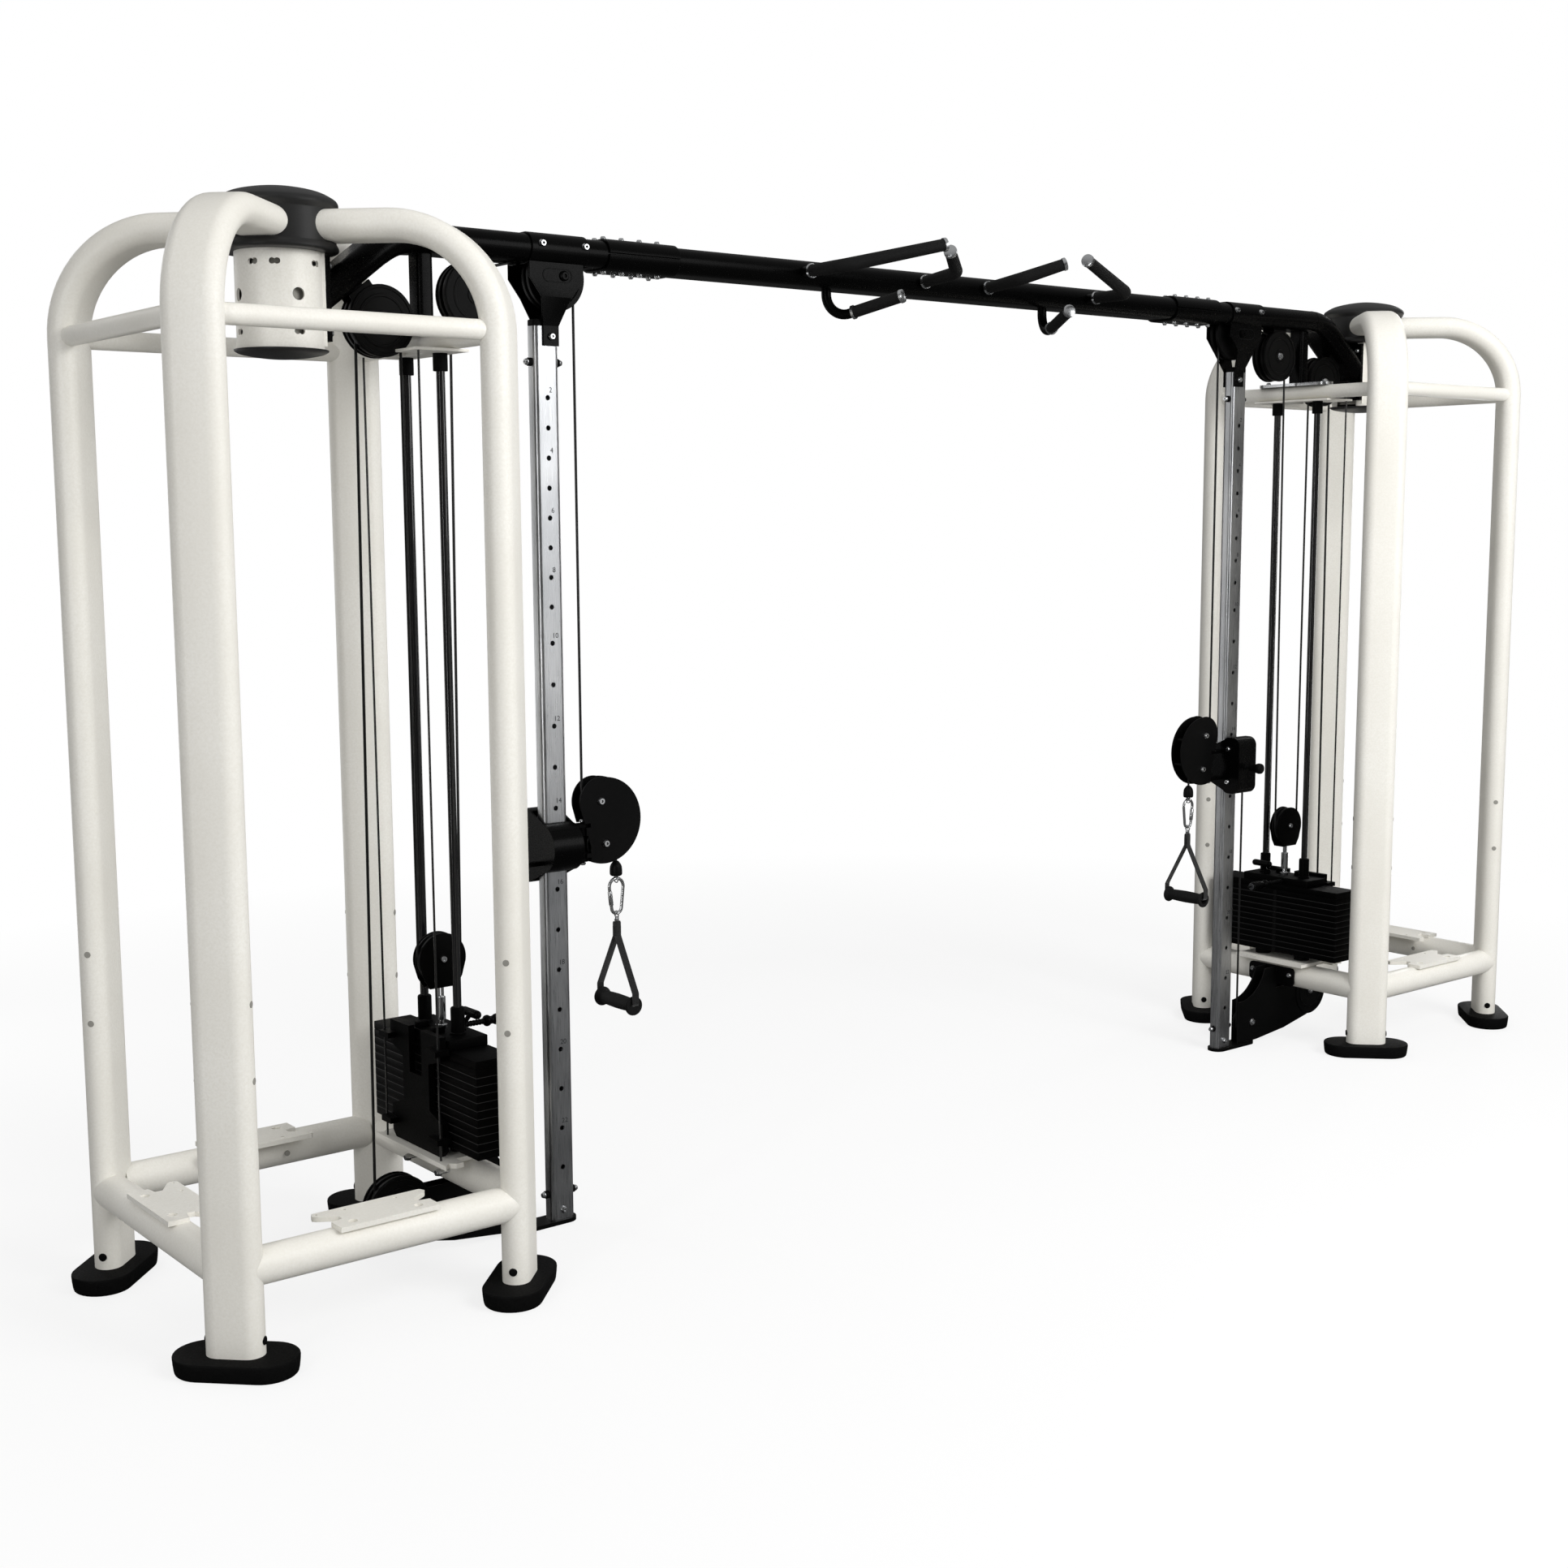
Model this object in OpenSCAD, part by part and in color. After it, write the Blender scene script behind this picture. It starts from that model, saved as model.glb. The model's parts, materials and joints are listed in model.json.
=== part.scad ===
// Twin tower cable crossover machine. The towers stand at both ends of a beam, and each end carries
// one cable station. Stations are drawn at the +X end and turned half a turn for the -X end.
// Millimetres, +Z up, floor at z = 0, origin on the floor midway between the towers.

/* [Towers] */
// Distance from the middle of the machine to each tower's centre
tower_x = 1871; // [1860:1:1890]
// Half the distance between neighbouring legs of a tower
leg_offset = 327; // [324:1:330]
// Wide size of the flat oval tube
tube_w = 120; // [118:1:122]
// Narrow size of the flat oval tube
tube_d = 62; // [60:1:64]
// Wall of the flat oval tube
tube_wall = 4; // [3:0.5:5]
// Height of the centreline of the beam
beam_z = 2280; // [2278:1:2282]
// Height of the centreline of the leg's horizontal top
leg_top_z = 2277; // [2276:1:2278]
// Centreline radius of the leg's bend
leg_bend_r = 220; // [210:1:230]
// Height of the lower rails
base_rail_z = 210; // [208:1:212]
// Diameter of the lower rails
base_rail_d = 78; // [76:1:78]
// Height of the upper ring rails
ring_rail_z = 2060; // [2058:1:2062]
// Diameter of the upper ring rails
ring_rail_d = 42; // [40:1:44]
// Top of the machine
overall_h = 2360; // [2358:1:2364]

/* [Column] */
// Distance from the middle of the machine to each column
column_x = 1234; // [1232:1:1236]
// Column size along the beam
column_w = 64; // [62:1:64]
// Column size across the beam
column_d = 36; // [34:1:36]
// Height of the lowest pin hole
first_hole_z = 138; // [136:0.5:140]
// Spacing of the lower pin holes
hole_pitch = 96.5; // [96:0.25:97]
// Height of the first of the closer upper pin holes
upper_hole_z = 1476; // [1470:1:1480]
// Spacing of the upper pin holes
upper_hole_pitch = 68; // [66:1:68]
// Hole that the carriage stands at, counted from the lowest
carriage_hole = 8; // [8:1:8]

/* [Weight stack] */
// Distance from the middle of the machine to the stack and its guide rods
stack_x = 1541; // [1540:1:1542]
// Distance of each guide rod from the stack's middle
rod_y = 76; // [74:1:78]
// Diameter of the guide rods
rod_d = 19; // [18:0.5:20]
// Number of plates that rest in the stack below the lifted one
resting_plates = 11; // [10:1:11]
// Thickness of one plate
plate_t = 18.6; // [18.4:0.1:18.8]
// Plate size along the beam
plate_w = 98; // [96:1:100]
// Plate length across the beam
plate_l = 476; // [460:1:480]

/* [Cable] */
// Diameter of the coated cable
cable_d = 6.25; // [5.5:0.25:6.5]
// Cable radius round the large pulleys
big_r = 53; // [52:0.5:54]
// Rim radius of the large pulleys
big_rim_r = 75; // [74:0.5:75.5]
// Cable radius round the floating pulley on the stack
float_r = 54; // [53:0.5:54]
// Cable radius round the swivel pulleys
swivel_r = 41; // [40:0.5:41]
// Cable radius round the pulley at the foot of the column
foot_r = 52; // [51:0.5:52]

/* [Hidden] */
$fn = 48;

white_coat = "#e9e7dd";
black_coat = "#1b1b1c";
rubber = "#2b2b2b";
bright_steel = "#c4c6c8";
chrome = "#d8dadd";
cable_black = "#161616";
grey_steel = "#8f9192";

// Room between pieces of different bodies, and of a running shaft
gap = 0.4;
run_gap = 0.05;
// Seam between the plates of the resting stack
plate_gap = 0.1;
// How much a joining piece stands proud of the round piece it takes in, and how far it takes it in
weld = 0.6;
lap = 1.5;
// Height of a small pulley's rim above its cable
rim_lip = 3.5;

// Places worked out from the driving sizes
leg_r = leg_offset * sqrt(2);
leg_bend_z = leg_top_z - leg_bend_r;
leg_foot_z = 8;
foot_h = 37;
foot_l = 257;
foot_w = 134;
leg_front = leg_offset - (tube_w - tube_d) / 2 / sqrt(2);
base_rail_off = leg_front + (tube_w - tube_d) / sqrt(2) + tube_d / 2 - base_rail_d / 2 - 0.5;
base_rail_end = 299;
base_rail_wall = 4;
base_top = base_rail_z + base_rail_d / 2;
base_plate_t = 11;
ring_off = 340;
ring_end = 318;
ring_top = ring_rail_z + ring_rail_d / 2;
ring_bottom = ring_rail_z - ring_rail_d / 2;
hub_r = 90;
hub_waist_r = 119;
hub_low = 2028;
hub_top = 2226;
hub_flat_x = tower_x - 76;
hub_plate_x = hub_flat_x - 12;
joint_x = 968;
coupler_x = [888, 1088];
elbow_x = 1555;
elbow_r = 170;
elbow_a = 38;
beam_bottom = beam_z - tube_d / 2;
inner_rail_x = tower_x - base_rail_off;
inner_ring_x = tower_x - ring_off;

// Cable centres, given as [x, z] at the +X end
run_front_x = 1150;
top_c = [run_front_x + big_r, 2222];
float_c = [stack_x, 690];
run_in_x = stack_x - float_r;
run_out_x = stack_x + float_r;
beam_c = [1417, 2168];
hub_c = [run_out_x + big_r, 2100];
base_c = [1668, 130];
foot_c = [1368, 71];
run_rear_x = foot_c[0] - foot_r;
upper_c = [run_front_x - swivel_r, 1012];
lower_c = [1097, 909];
pull_x = lower_c[0] - swivel_r;

pin_z = first_hole_z + carriage_hole * hole_pitch;
body_z = pin_z + 5;
column_foot = 10;
column_top = 2112;
stop_z = [72, 2032];
stack_foot = 281;
stack_low = base_top + base_plate_t;
lift_z = stack_foot + resting_plates * plate_t + gap;
head_z = lift_z + plate_t;
head_t = 23;
head_l = 250;
head_top = head_z + head_t;
rod_top = ring_bottom - 6;
wire = [1620, 125];
plate_hole_y = -3;
selector_y = -28;
selector_z = head_z + head_t / 2;
ball_top = 860;
ball_low = 824;
grip_z = 514;

// Lower and upper pin holes
function hole_heights() = concat(
    [for (k = [0 : 13]) first_hole_z + k * hole_pitch],
    [for (k = [0 : 7]) upper_hole_z + k * upper_hole_pitch]);

// Angle of the line from a to b, and the half angles of its tangents
function heading(a, b) = atan2(b[1] - a[1], b[0] - a[0]);
function span(a, b) = norm(b - a);
function outer_half(a, ra, b, rb) = acos((ra - rb) / span(a, b));
function inner_half(a, ra, b, rb) = acos((ra + rb) / span(a, b));
function on_circle(c, r, angle) = c + r * [cos(angle), sin(angle)];

// Shared shapes

// Repeats a station's pieces at the other end, turned half a turn
module both_ends() {
    children();
    turned() children();
}

module turned() {
    rotate([0, 0, 180]) children();
}

module mirrored_x() {
    children();
    mirror([1, 0, 0]) children();
}

module mirrored_y() {
    children();
    mirror([0, 1, 0]) children();
}

// Outline given in x and z, as thick as from y0 to y1
module xz_plate(y0, y1) {
    translate([0, y1, 0]) rotate([90, 0, 0]) linear_extrude(y1 - y0) children();
}

// Outline given in y and z, as thick as from x0 to x1
module yz_plate(x0, x1) {
    translate([x0, 0, 0]) rotate([90, 0, 90]) linear_extrude(x1 - x0) children();
}

module y_rod(d, y0, y1) {
    translate([0, y0, 0]) rotate([-90, 0, 0]) cylinder(d = d, h = y1 - y0);
}

module x_rod(d, x0, x1) {
    translate([x0, 0, 0]) rotate([0, 90, 0]) cylinder(d = d, h = x1 - x0);
}

// Straight round bar from one point to another
module bar(from, to, d) {
    v = to - from;
    translate(from)
        rotate([0, acos(v[2] / norm(v)), atan2(v[1], v[0])])
            cylinder(d = d, h = norm(v));
}

// Round bar through a list of points, with ball corners
module bent_bar(points, d) {
    for (i = [0 : len(points) - 2]) bar(points[i], points[i + 1], d);
    for (i = [1 : 1 : len(points) - 2]) translate(points[i]) sphere(d = d + weld);
}

// Flat oval, long along y
module oval(w, d) {
    square([d, w - d], center = true);
    for (s = [-1, 1]) translate([0, s * (w - d) / 2]) circle(d = d);
}

module oval_ring(w, d, wall) {
    difference() {
        oval(w, d);
        oval(w - 2 * wall, d - 2 * wall);
    }
}

module rounded(w, h, r) {
    square([w - 2 * r, h], center = true);
    square([w, h - 2 * r], center = true);
    for (sx = [-1, 1], sy = [-1, 1]) translate([sx * (w / 2 - r), sy * (h / 2 - r)]) circle(r = r);
}

// Two circles joined by their outer tangents
module link(a, ra, b, rb) {
    t = heading(a, b);
    h = outer_half(a, ra, b, rb);
    translate(a) circle(r = ra);
    translate(b) circle(r = rb);
    polygon([
        on_circle(a, ra, t + h), on_circle(b, rb, t + h),
        on_circle(b, rb, t - h), on_circle(a, ra, t - h)]);
}

// Grooved pulley on the y axis
module pulley(cable_r, w, bore, rim_r) {
    floor_r = cable_r - cable_d / 2 - gap;
    groove = cable_d / 2 + gap;
    rotate([90, 0, 0]) rotate_extrude() polygon([
        [bore / 2, -w / 2], [rim_r * 0.3, -w / 2], [rim_r * 0.32, -w / 2 + 2], [rim_r * 0.82, -w / 2 + 2],
        [rim_r * 0.84, -w / 2], [rim_r, -w / 2], [rim_r, -groove - 2], [floor_r, -groove], [floor_r, groove],
        [rim_r, groove + 2], [rim_r, w / 2], [rim_r * 0.84, w / 2], [rim_r * 0.82, w / 2 - 2],
        [rim_r * 0.32, w / 2 - 2], [rim_r * 0.3, w / 2], [bore / 2, w / 2]]);
}

// Piece of cable bent round a pulley in the xz plane, from angle a0 up to a1
module cable_arc(c, r, a0, a1) {
    translate([c[0], 0, c[1]]) rotate([90, 0, 0]) rotate([0, 0, a0])
        rotate_extrude(angle = a1 - a0) translate([r, 0]) circle(d = cable_d);
}

module cable_run(a, b) {
    bar([a[0], 0, a[1]], [b[0], 0, b[1]], cable_d);
}

// Straight cable that takes in the ends of the bends it joins
module cable_link(a, b) {
    v = lap * (b - a) / norm(b - a);
    from = a - v;
    to = b + v;
    bar([from[0], 0, from[1]], [to[0], 0, to[1]], cable_d + weld / 2);
}

// Button head standing on a face, along +z
module button_head(d, h) {
    rotate_extrude() difference() {
        polygon([[0, 0], [d / 2, 0], [d / 2, h * 0.45], [d * 0.36, h], [0, h]]);
        translate([0, h * 0.5]) square([d * 0.18, h]);
    }
}

// Towers

module at_legs() {
    for (s = [-1, 1], a = [45 : 90 : 315])
        translate([s * tower_x, 0, 0]) rotate([0, 0, a]) children();
}

module at_towers() {
    for (s = [-1, 1]) translate([s * tower_x, 0, 0]) children();
}

// Leg swept from an outline, from the foot round the bend to the hub, in its own radial plane
module leg_sweep(inner_end) {
    translate([leg_r, 0, leg_foot_z]) linear_extrude(leg_bend_z - leg_foot_z) children();
    translate([leg_r - leg_bend_r, 0, leg_bend_z]) rotate([90, 0, 0])
        rotate_extrude(angle = 90) translate([leg_bend_r, 0]) children();
    translate([inner_end, 0, leg_top_z]) rotate([0, 90, 0])
        linear_extrude(leg_r - leg_bend_r - inner_end) children();
}

module leg_solids() {
    at_legs() leg_sweep(hub_waist_r) oval(tube_w, tube_d);
}

module leg_tubes() {
    at_legs() difference() {
        leg_sweep(70) oval_ring(tube_w, tube_d, tube_wall);
        translate([0, 0, leg_top_z - 50]) cylinder(r = hub_waist_r, h = 100);
    }
}

// Rubber feet, plugs and stops

module foot() {
    translate([leg_r, 0, 0]) difference() {
        linear_extrude(foot_h) oval(foot_l, foot_w);
        translate([0, 0, leg_foot_z]) linear_extrude(foot_h) oval(tube_w, tube_d);
    }
}

module leg_plugs() {
    end_y = (tube_w - tube_d) / 2;
    for (s = [-1, 1])
        translate([leg_r, s * end_y, 66]) rotate([0, 0, s * 90]) x_rod(16, tube_d / 2, tube_d / 2 + 2);
}

module column_stops() {
    for (z = stop_z, s = [-1, 1])
        translate([column_x, 0, z]) rotate([0, 0, s < 0 ? 180 : 0]) x_rod(19, column_w / 2, column_w / 2 + 9);
}

module column_plug() {
    translate([column_x, 0, column_top]) linear_extrude(15) rounded(column_w, column_d, 10);
}

module rod_collars() {
    for (s = [-1, 1]) translate([stack_x, s * rod_y, 0]) {
        translate([0, 0, rod_top - 38]) sleeve(32, rod_d, 38);
        translate([0, 0, stack_low]) sleeve(48, rod_d, stack_foot - stack_low);
    }
}

module sleeve(d, bore, h) {
    difference() {
        cylinder(d = d, h = h);
        translate([0, 0, -1]) cylinder(d = bore, h = h + 2);
    }
}

module feet_and_stops() {
    color(rubber) {
        at_legs() {
            foot();
            leg_plugs();
        }
        both_ends() {
            column_stops();
            column_plug();
            rod_collars();
        }
    }
}

module legs() {
    color(white_coat) leg_tubes();
}

// Four rails of a ring, each turned a quarter further
module rail_ring(offset, half, z, d, wall) {
    for (a = [0 : 90 : 270]) rotate([0, 0, a]) translate([-offset, half, z]) rotate([90, 0, 0])
        linear_extrude(2 * half) difference() {
            circle(d = d);
            circle(d = d - 2 * wall);
        }
}

// Flat plate with ears and bolt holes, welded along the top of an outer rail
module shroud_plate() {
    outer = -32;
    inner = 83;
    half = 113;
    ear = 130;
    neck = 86;
    translate([-base_rail_off, 0, base_top - 2]) linear_extrude(base_plate_t) difference() {
        polygon([
            [outer, -half], [14, -half], [19, -neck], [36, -neck], [60, -ear + 6], [68, -ear], [inner - 3, -ear + 4],
            [inner, -ear + 8], [inner, ear - 8], [inner - 3, ear - 4], [68, ear], [60, ear - 6], [36, neck],
            [19, neck], [14, half], [outer, half]]);
        for (u = [-1, 1]) {
            translate([-7, u * 75]) circle(d = 20);
            translate([66, u * 59]) circle(d = 9);
            translate([72, u * 119]) circle(d = 6);
        }
    }
}

// Base plate of the weight stack on the inner rail, with ears for the guide wires
module stack_base() {
    translate([0, 0, base_top]) difference() {
        linear_extrude(base_plate_t) {
            translate([stack_x - 71, -130]) square([115, 260]);
            translate([stack_x + 44, -165]) square([46, 330]);
        }
        for (s = [-1, 1])
            translate([wire[0] - 4, s * 165, -1]) rotate([0, 0, 45]) translate([-9, -9]) cube([18, 18, 20]);
    }
}

module base_rails() {
    color(white_coat) {
        difference() {
            at_towers() rail_ring(base_rail_off, base_rail_end, base_rail_z, base_rail_d, base_rail_wall);
            leg_solids();
        }
        both_ends() stack_base();
        for (s = [0, 180], a = [90, 180, 270])
            rotate([0, 0, s]) translate([tower_x, 0, 0]) rotate([0, 0, a]) difference() {
                shroud_plate();
                translate([-base_rail_off, 300, base_rail_z]) rotate([90, 0, 0])
                    cylinder(d = base_rail_d, h = 600);
            }
    }
}

module ring_rails() {
    color(white_coat) difference() {
        at_towers() rail_ring(ring_off, ring_end, ring_rail_z, ring_rail_d, 3);
        leg_solids();
    }
}

// Hub that ties the legs and carries the boom

// Short level slot through the hub's wall
module hub_slot(z) {
    translate([0, 0, z]) for (s = [-1, 1]) translate([0, s * 5, 0]) x_rod(13, hub_r - 20, hub_r + 20);
}

module hub_tubes() {
    color(white_coat) both_ends() difference() {
        union() {
            translate([tower_x, 0, hub_low]) cylinder(r = hub_r, h = hub_top - hub_low);
            translate([hub_flat_x, -58, hub_low + 8]) cube([60, 116, 190]);
        }
        translate([tower_x, 0, hub_low - 1]) cylinder(r = hub_r - 6, h = hub_top - hub_low + 2);
        translate([hub_flat_x - 40, -100, hub_low - 1]) cube([40, 200, 300]);
        for (a = [-90, 0, 90]) translate([tower_x, 0, 0]) rotate([0, 0, a]) {
            translate([0, 0, 2136]) x_rod(26, hub_r - 20, hub_r + 20);
            hub_slot(2061);
        }
        for (a = [-135, -45, 45, 135], b = [-15, 15])
            translate([tower_x, 0, 0]) rotate([0, 0, a + b]) hub_slot(2200);
    }
}

module hub_caps() {
    color(black_coat) at_towers() {
        rotate_extrude() polygon([
            [0, hub_top], [119, hub_top], [124, hub_top + 4], [124, hub_top + 10], [hub_waist_r, 2245.5],
            [hub_waist_r, 2308.5], [124, 2317], [125, 2323], [121, 2331], [98, 2344], [70, 2352],
            [36, 2358], [0, overall_h]]);
        rotate_extrude() polygon([
            [0, 2010], [40, 2012], [74, 2017], [96, 2025], [97, hub_low], [0, hub_low]]);
    }
}

// Flat oval of the boom, hollow or solid, grown by a little for the elbow that takes the arms in
module boom_section(hollow, grow) {
    if (hollow) oval_ring(tube_w + grow, tube_d + grow, tube_wall + grow);
    else oval(tube_w + grow, tube_d + grow);
}

// Boom from the hub plate, up the elbow and along to the joint with the cross beam
module boom_sweep(hollow) {
    arm_end = [elbow_x + elbow_r * sin(elbow_a), beam_z - elbow_r * (1 - cos(elbow_a))];
    translate([joint_x, 0, beam_z]) rotate([0, 90, 0])
        linear_extrude(elbow_x + lap - joint_x) boom_section(hollow, 0);
    translate([elbow_x, 0, beam_z - elbow_r]) rotate([90, 0, 0]) rotate([0, 0, 90 - elbow_a])
        rotate_extrude(angle = elbow_a) translate([elbow_r, 0]) boom_section(hollow, 2 * weld);
    difference() {
        translate([arm_end[0], 0, arm_end[1]]) rotate([0, 90 + elbow_a, 0]) translate([0, 0, -lap])
            linear_extrude(260) boom_section(hollow, 0);
        translate([hub_plate_x, -200, 1800]) cube([400, 400, 600]);
    }
}

// Slot in the underside that lets the cable and the column's top pulley into the tube
module cable_slot() {
    translate([1122, -26, beam_z - 60]) cube([164, 52, 60]);
    translate([1280, -8, beam_z - 60]) cube([170, 16, 60]);
}

module boom_arms() {
    color(black_coat) both_ends() {
        difference() {
            boom_sweep(true);
            cable_slot();
        }
        translate([hub_plate_x, -58, hub_low + 18]) cube([12, 116, 176]);
    }
}

module cross_beam() {
    color(black_coat) translate([-joint_x, 0, beam_z]) rotate([0, 90, 0])
        linear_extrude(2 * joint_x) oval_ring(tube_w, tube_d, tube_wall);
}

// Two half shells clamp each joint between the beam and a boom
module coupler_shells() {
    shell_t = 5;
    color(black_coat) both_ends() difference() {
        translate([coupler_x[0], 0, beam_z]) rotate([0, 90, 0])
            linear_extrude(coupler_x[1] - coupler_x[0]) oval_ring(tube_w + 2 * shell_t, tube_d + 2 * shell_t, shell_t);
        translate([coupler_x[0] - 1, -100, beam_z - 1.5]) cube([400, 200, 3]);
    }
}

// Pull up bars on the front of the beam. Routes are chosen by hand at the +X half and mirrored
wide_route = [[511, -50, beam_z], [511, -205, beam_z], [254, -293, beam_z + 61]];
narrow_route = [[114, -50, beam_z], [114, -187, beam_z + 14], [206, -260, beam_z + 52]];
low_route = [[390, 0, beam_z - 20], [390, 0, beam_z - 108], [300, -188, beam_z - 56]];
bar_d = 25;
grip_d = 33;

// Point between two others
function between(a, b, t) = a + (b - a) * t;

// Part of a route that the soft grip covers
wide_grip = [[511, -94, beam_z], wide_route[1], wide_route[2]];
narrow_grip = [between(narrow_route[0], narrow_route[1], 0.18), narrow_route[1], narrow_route[2]];
low_grip = [between(low_route[1], low_route[2], 0.2), low_route[2]];
grip_routes = [wide_grip, narrow_grip, low_grip];

function direction(a, b) = (b - a) / norm(b - a);

// Route that runs on a little into its end cap
function into_cap(route) = concat(
    [for (i = [0 : len(route) - 2]) route[i]],
    [route[len(route) - 1] + lap * direction(route[len(route) - 2], route[len(route) - 1])]);

module pull_up_bars() {
    ring_t = 6;
    color(black_coat) mirrored_x() {
        difference() {
            for (route = [wide_route, narrow_route, low_route]) bent_bar(into_cap(route), bar_d);
            translate([0, 0, beam_z]) rotate([0, 90, 0]) linear_extrude(700) oval(tube_w, tube_d);
        }
        for (route = grip_routes) {
            last = len(route) - 1;
            start = direction(route[0], route[1]);
            end = direction(route[last - 1], route[last]);
            bar(route[0] - start * ring_t, route[0], grip_d + 3);
            bar(route[last], route[last] + end * 4, grip_d);
        }
    }
}

module pull_up_grips() {
    color(rubber) mirrored_x() for (route = grip_routes) difference() {
        bent_bar(route, grip_d);
        bent_bar(route, bar_d);
        bar(route[0], between(route[0], route[1], -0.2), grip_d + 10);
    }
}

// Strut between the boom and the inner ring rail, with the plates that hold the guide rods
module boom_struts() {
    color(black_coat) both_ends() {
        difference() {
            translate([stack_x, 0, ring_top + 9]) linear_extrude(beam_bottom - ring_top - 9) rounded(38, 50, 10);
            translate([elbow_x - 8, -40, beam_bottom - 1]) cube([20, 80, 2]);
        }
        translate([inner_ring_x, 0, ring_top]) linear_extrude(9) oval(264, 60);
        translate([0, 0, rod_top]) linear_extrude(6) difference() {
            translate([stack_x - 36, -138]) square([wire[0] + 12 - stack_x + 36, 276]);
            translate([stack_x + 18, -46]) square([100, 92]);
        }
    }
}

// Column head that straddles the boom and holds the top pulley between its cheeks
module head_cheek() {
    intersection() {
        yz_plate(1143, 1294) polygon([
            [-47, 2251], [-43, 2251], [-43, 2174], [-column_d / 2, 2112], [-column_d / 2, 2068],
            [-column_d / 2 - 4, 2068], [-column_d / 2 - 4, 2113], [-47, 2175]]);
        xz_plate(-60, 0) difference() {
            polygon([
                [1150, 2260], [1294, 2260], [1294, 2216], [1263, 2175], [1245, 2112], [1245, 2060], [1203, 2060],
                [1203, 2112], [1184, 2173], [1150, 2212]]);
            translate(top_c) circle(d = 16);
        }
    }
}

module column_heads() {
    color(black_coat) both_ends() {
        difference() {
            translate([1143, 0, beam_z]) rotate([0, 90, 0]) linear_extrude(151)
                oval_ring(tube_w + 8, tube_d + 8, 4);
            cable_slot();
        }
        mirrored_y() difference() {
            head_cheek();
            translate([1140, 0, beam_z]) rotate([0, 90, 0]) linear_extrude(160) oval(tube_w + 8, tube_d + 8);
        }
    }
}

module columns() {
    color(bright_steel) both_ends() difference() {
        translate([column_x, 0, column_foot]) linear_extrude(column_top - column_foot) difference() {
            rounded(column_w, column_d, 10);
            rounded(column_w - 6, column_d - 6, 7);
        }
        for (z = hole_heights()) translate([column_x, 0, z]) y_rod(12, -column_d, column_d);
    }
}

// Sheet metal lower boom from the inner rail to the foot of the column
module boom_outline() {
    difference() {
        union() {
            polygon([
                [1297, column_foot], [1390, column_foot], [1533, 25.5], [1655, 51.5], base_c, [1610, 166],
                [1489, 166], [1489, 236], [1424, 236], [1330, 150], [1297, 144]]);
            translate(base_c) circle(r = big_rim_r + 3);
        }
        translate([1308, 270]) circle(r = 126);
        translate([inner_rail_x, base_rail_z]) circle(d = base_rail_d + 1);
    }
}

module lower_booms() {
    color(black_coat) both_ends() {
        difference() {
            union() {
                xz_plate(-20, -16) boom_outline();
                xz_plate(16, 20) difference() {
                    boom_outline();
                    translate([1290, column_foot]) square([26, 150]);
                }
            }
            translate([foot_c[0], 0, foot_c[1]]) y_rod(16, -40, 40);
            translate([base_c[0], 0, base_c[1]]) y_rod(16, -40, 40);
        }
        linear_extrude(column_foot) translate([1289, 0]) rotate([0, 0, 90]) oval(192, 58);
        yz_plate(inner_rail_x - base_rail_d / 2 - 6, inner_rail_x - base_rail_d / 2)
            translate([0, 208]) rounded(176, 60, 14);
    }
}

// Round guards that hold the two pulleys under the boom
module pulley_guards() {
    guard_r = big_rim_r + 2;
    color(black_coat) both_ends() difference() {
        mirrored_y() {
            xz_plate(18, 22) {
                difference() {
                    union() {
                        translate(beam_c) circle(r = guard_r);
                        translate([beam_c[0] - 30, beam_c[1]]) square([60, beam_bottom - beam_c[1]]);
                    }
                    translate(beam_c) circle(d = 16);
                }
                difference() {
                    union() {
                        translate(hub_c) circle(r = guard_r);
                        translate(hub_c) rotate([0, 0, -elbow_a]) translate([-30, 0]) square([60, guard_r + 8]);
                    }
                    translate(hub_c) circle(d = 16);
                }
            }
        }
        boom_sweep(false);
    }
}

module guide_rods() {
    color(black_coat) both_ends() for (s = [-1, 1]) {
        translate([stack_x, s * rod_y, stack_low]) cylinder(d = rod_d, h = rod_top - stack_low);
        translate([wire[0], s * wire[1], stack_low]) cylinder(d = 5, h = rod_top - stack_low);
    }
}

// One stack plate with holes for the rods, the stem and the selector
module stack_plate(t) {
    difference() {
        translate([stack_x - plate_w / 2, -plate_l / 2, 0]) cube([plate_w, plate_l, t]);
        for (s = [-1, 1]) translate([stack_x, s * rod_y, -1]) cylinder(d = rod_d + 2, h = t + 2);
        translate([stack_x, 0, -1]) linear_extrude(t + 2) square([31, 44], center = true);
        translate([0, plate_hole_y, t / 2]) x_rod(11, stack_x - plate_w, stack_x);
    }
}

module weight_plates() {
    color(black_coat) both_ends() for (i = [0 : resting_plates - 1])
        translate([0, 0, stack_foot + i * plate_t]) stack_plate(plate_t - plate_gap);
}

// Cables that stay where they are
module drive_cables() {
    top_half = outer_half(top_c, big_r, beam_c, big_r);
    top_way = heading(top_c, beam_c) + top_half;
    low_half = outer_half(base_c, big_r, foot_c, foot_r);
    low_way = heading(base_c, foot_c) + low_half + 360;
    color(cable_black) both_ends() {
        cable_arc(top_c, big_r, top_way, 180);
        cable_link(on_circle(top_c, big_r, top_way), on_circle(beam_c, big_r, top_way));
        cable_arc(beam_c, big_r, 0, top_way);
        cable_arc(hub_c, big_r, 0, 180);
        cable_link(on_circle(hub_c, big_r, 0), on_circle(base_c, big_r, 0));
        cable_arc(base_c, big_r, low_way, 360);
        cable_link(on_circle(base_c, big_r, low_way), on_circle(foot_c, foot_r, low_way));
        cable_arc(foot_c, foot_r, 180, low_way);
    }
}

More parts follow.
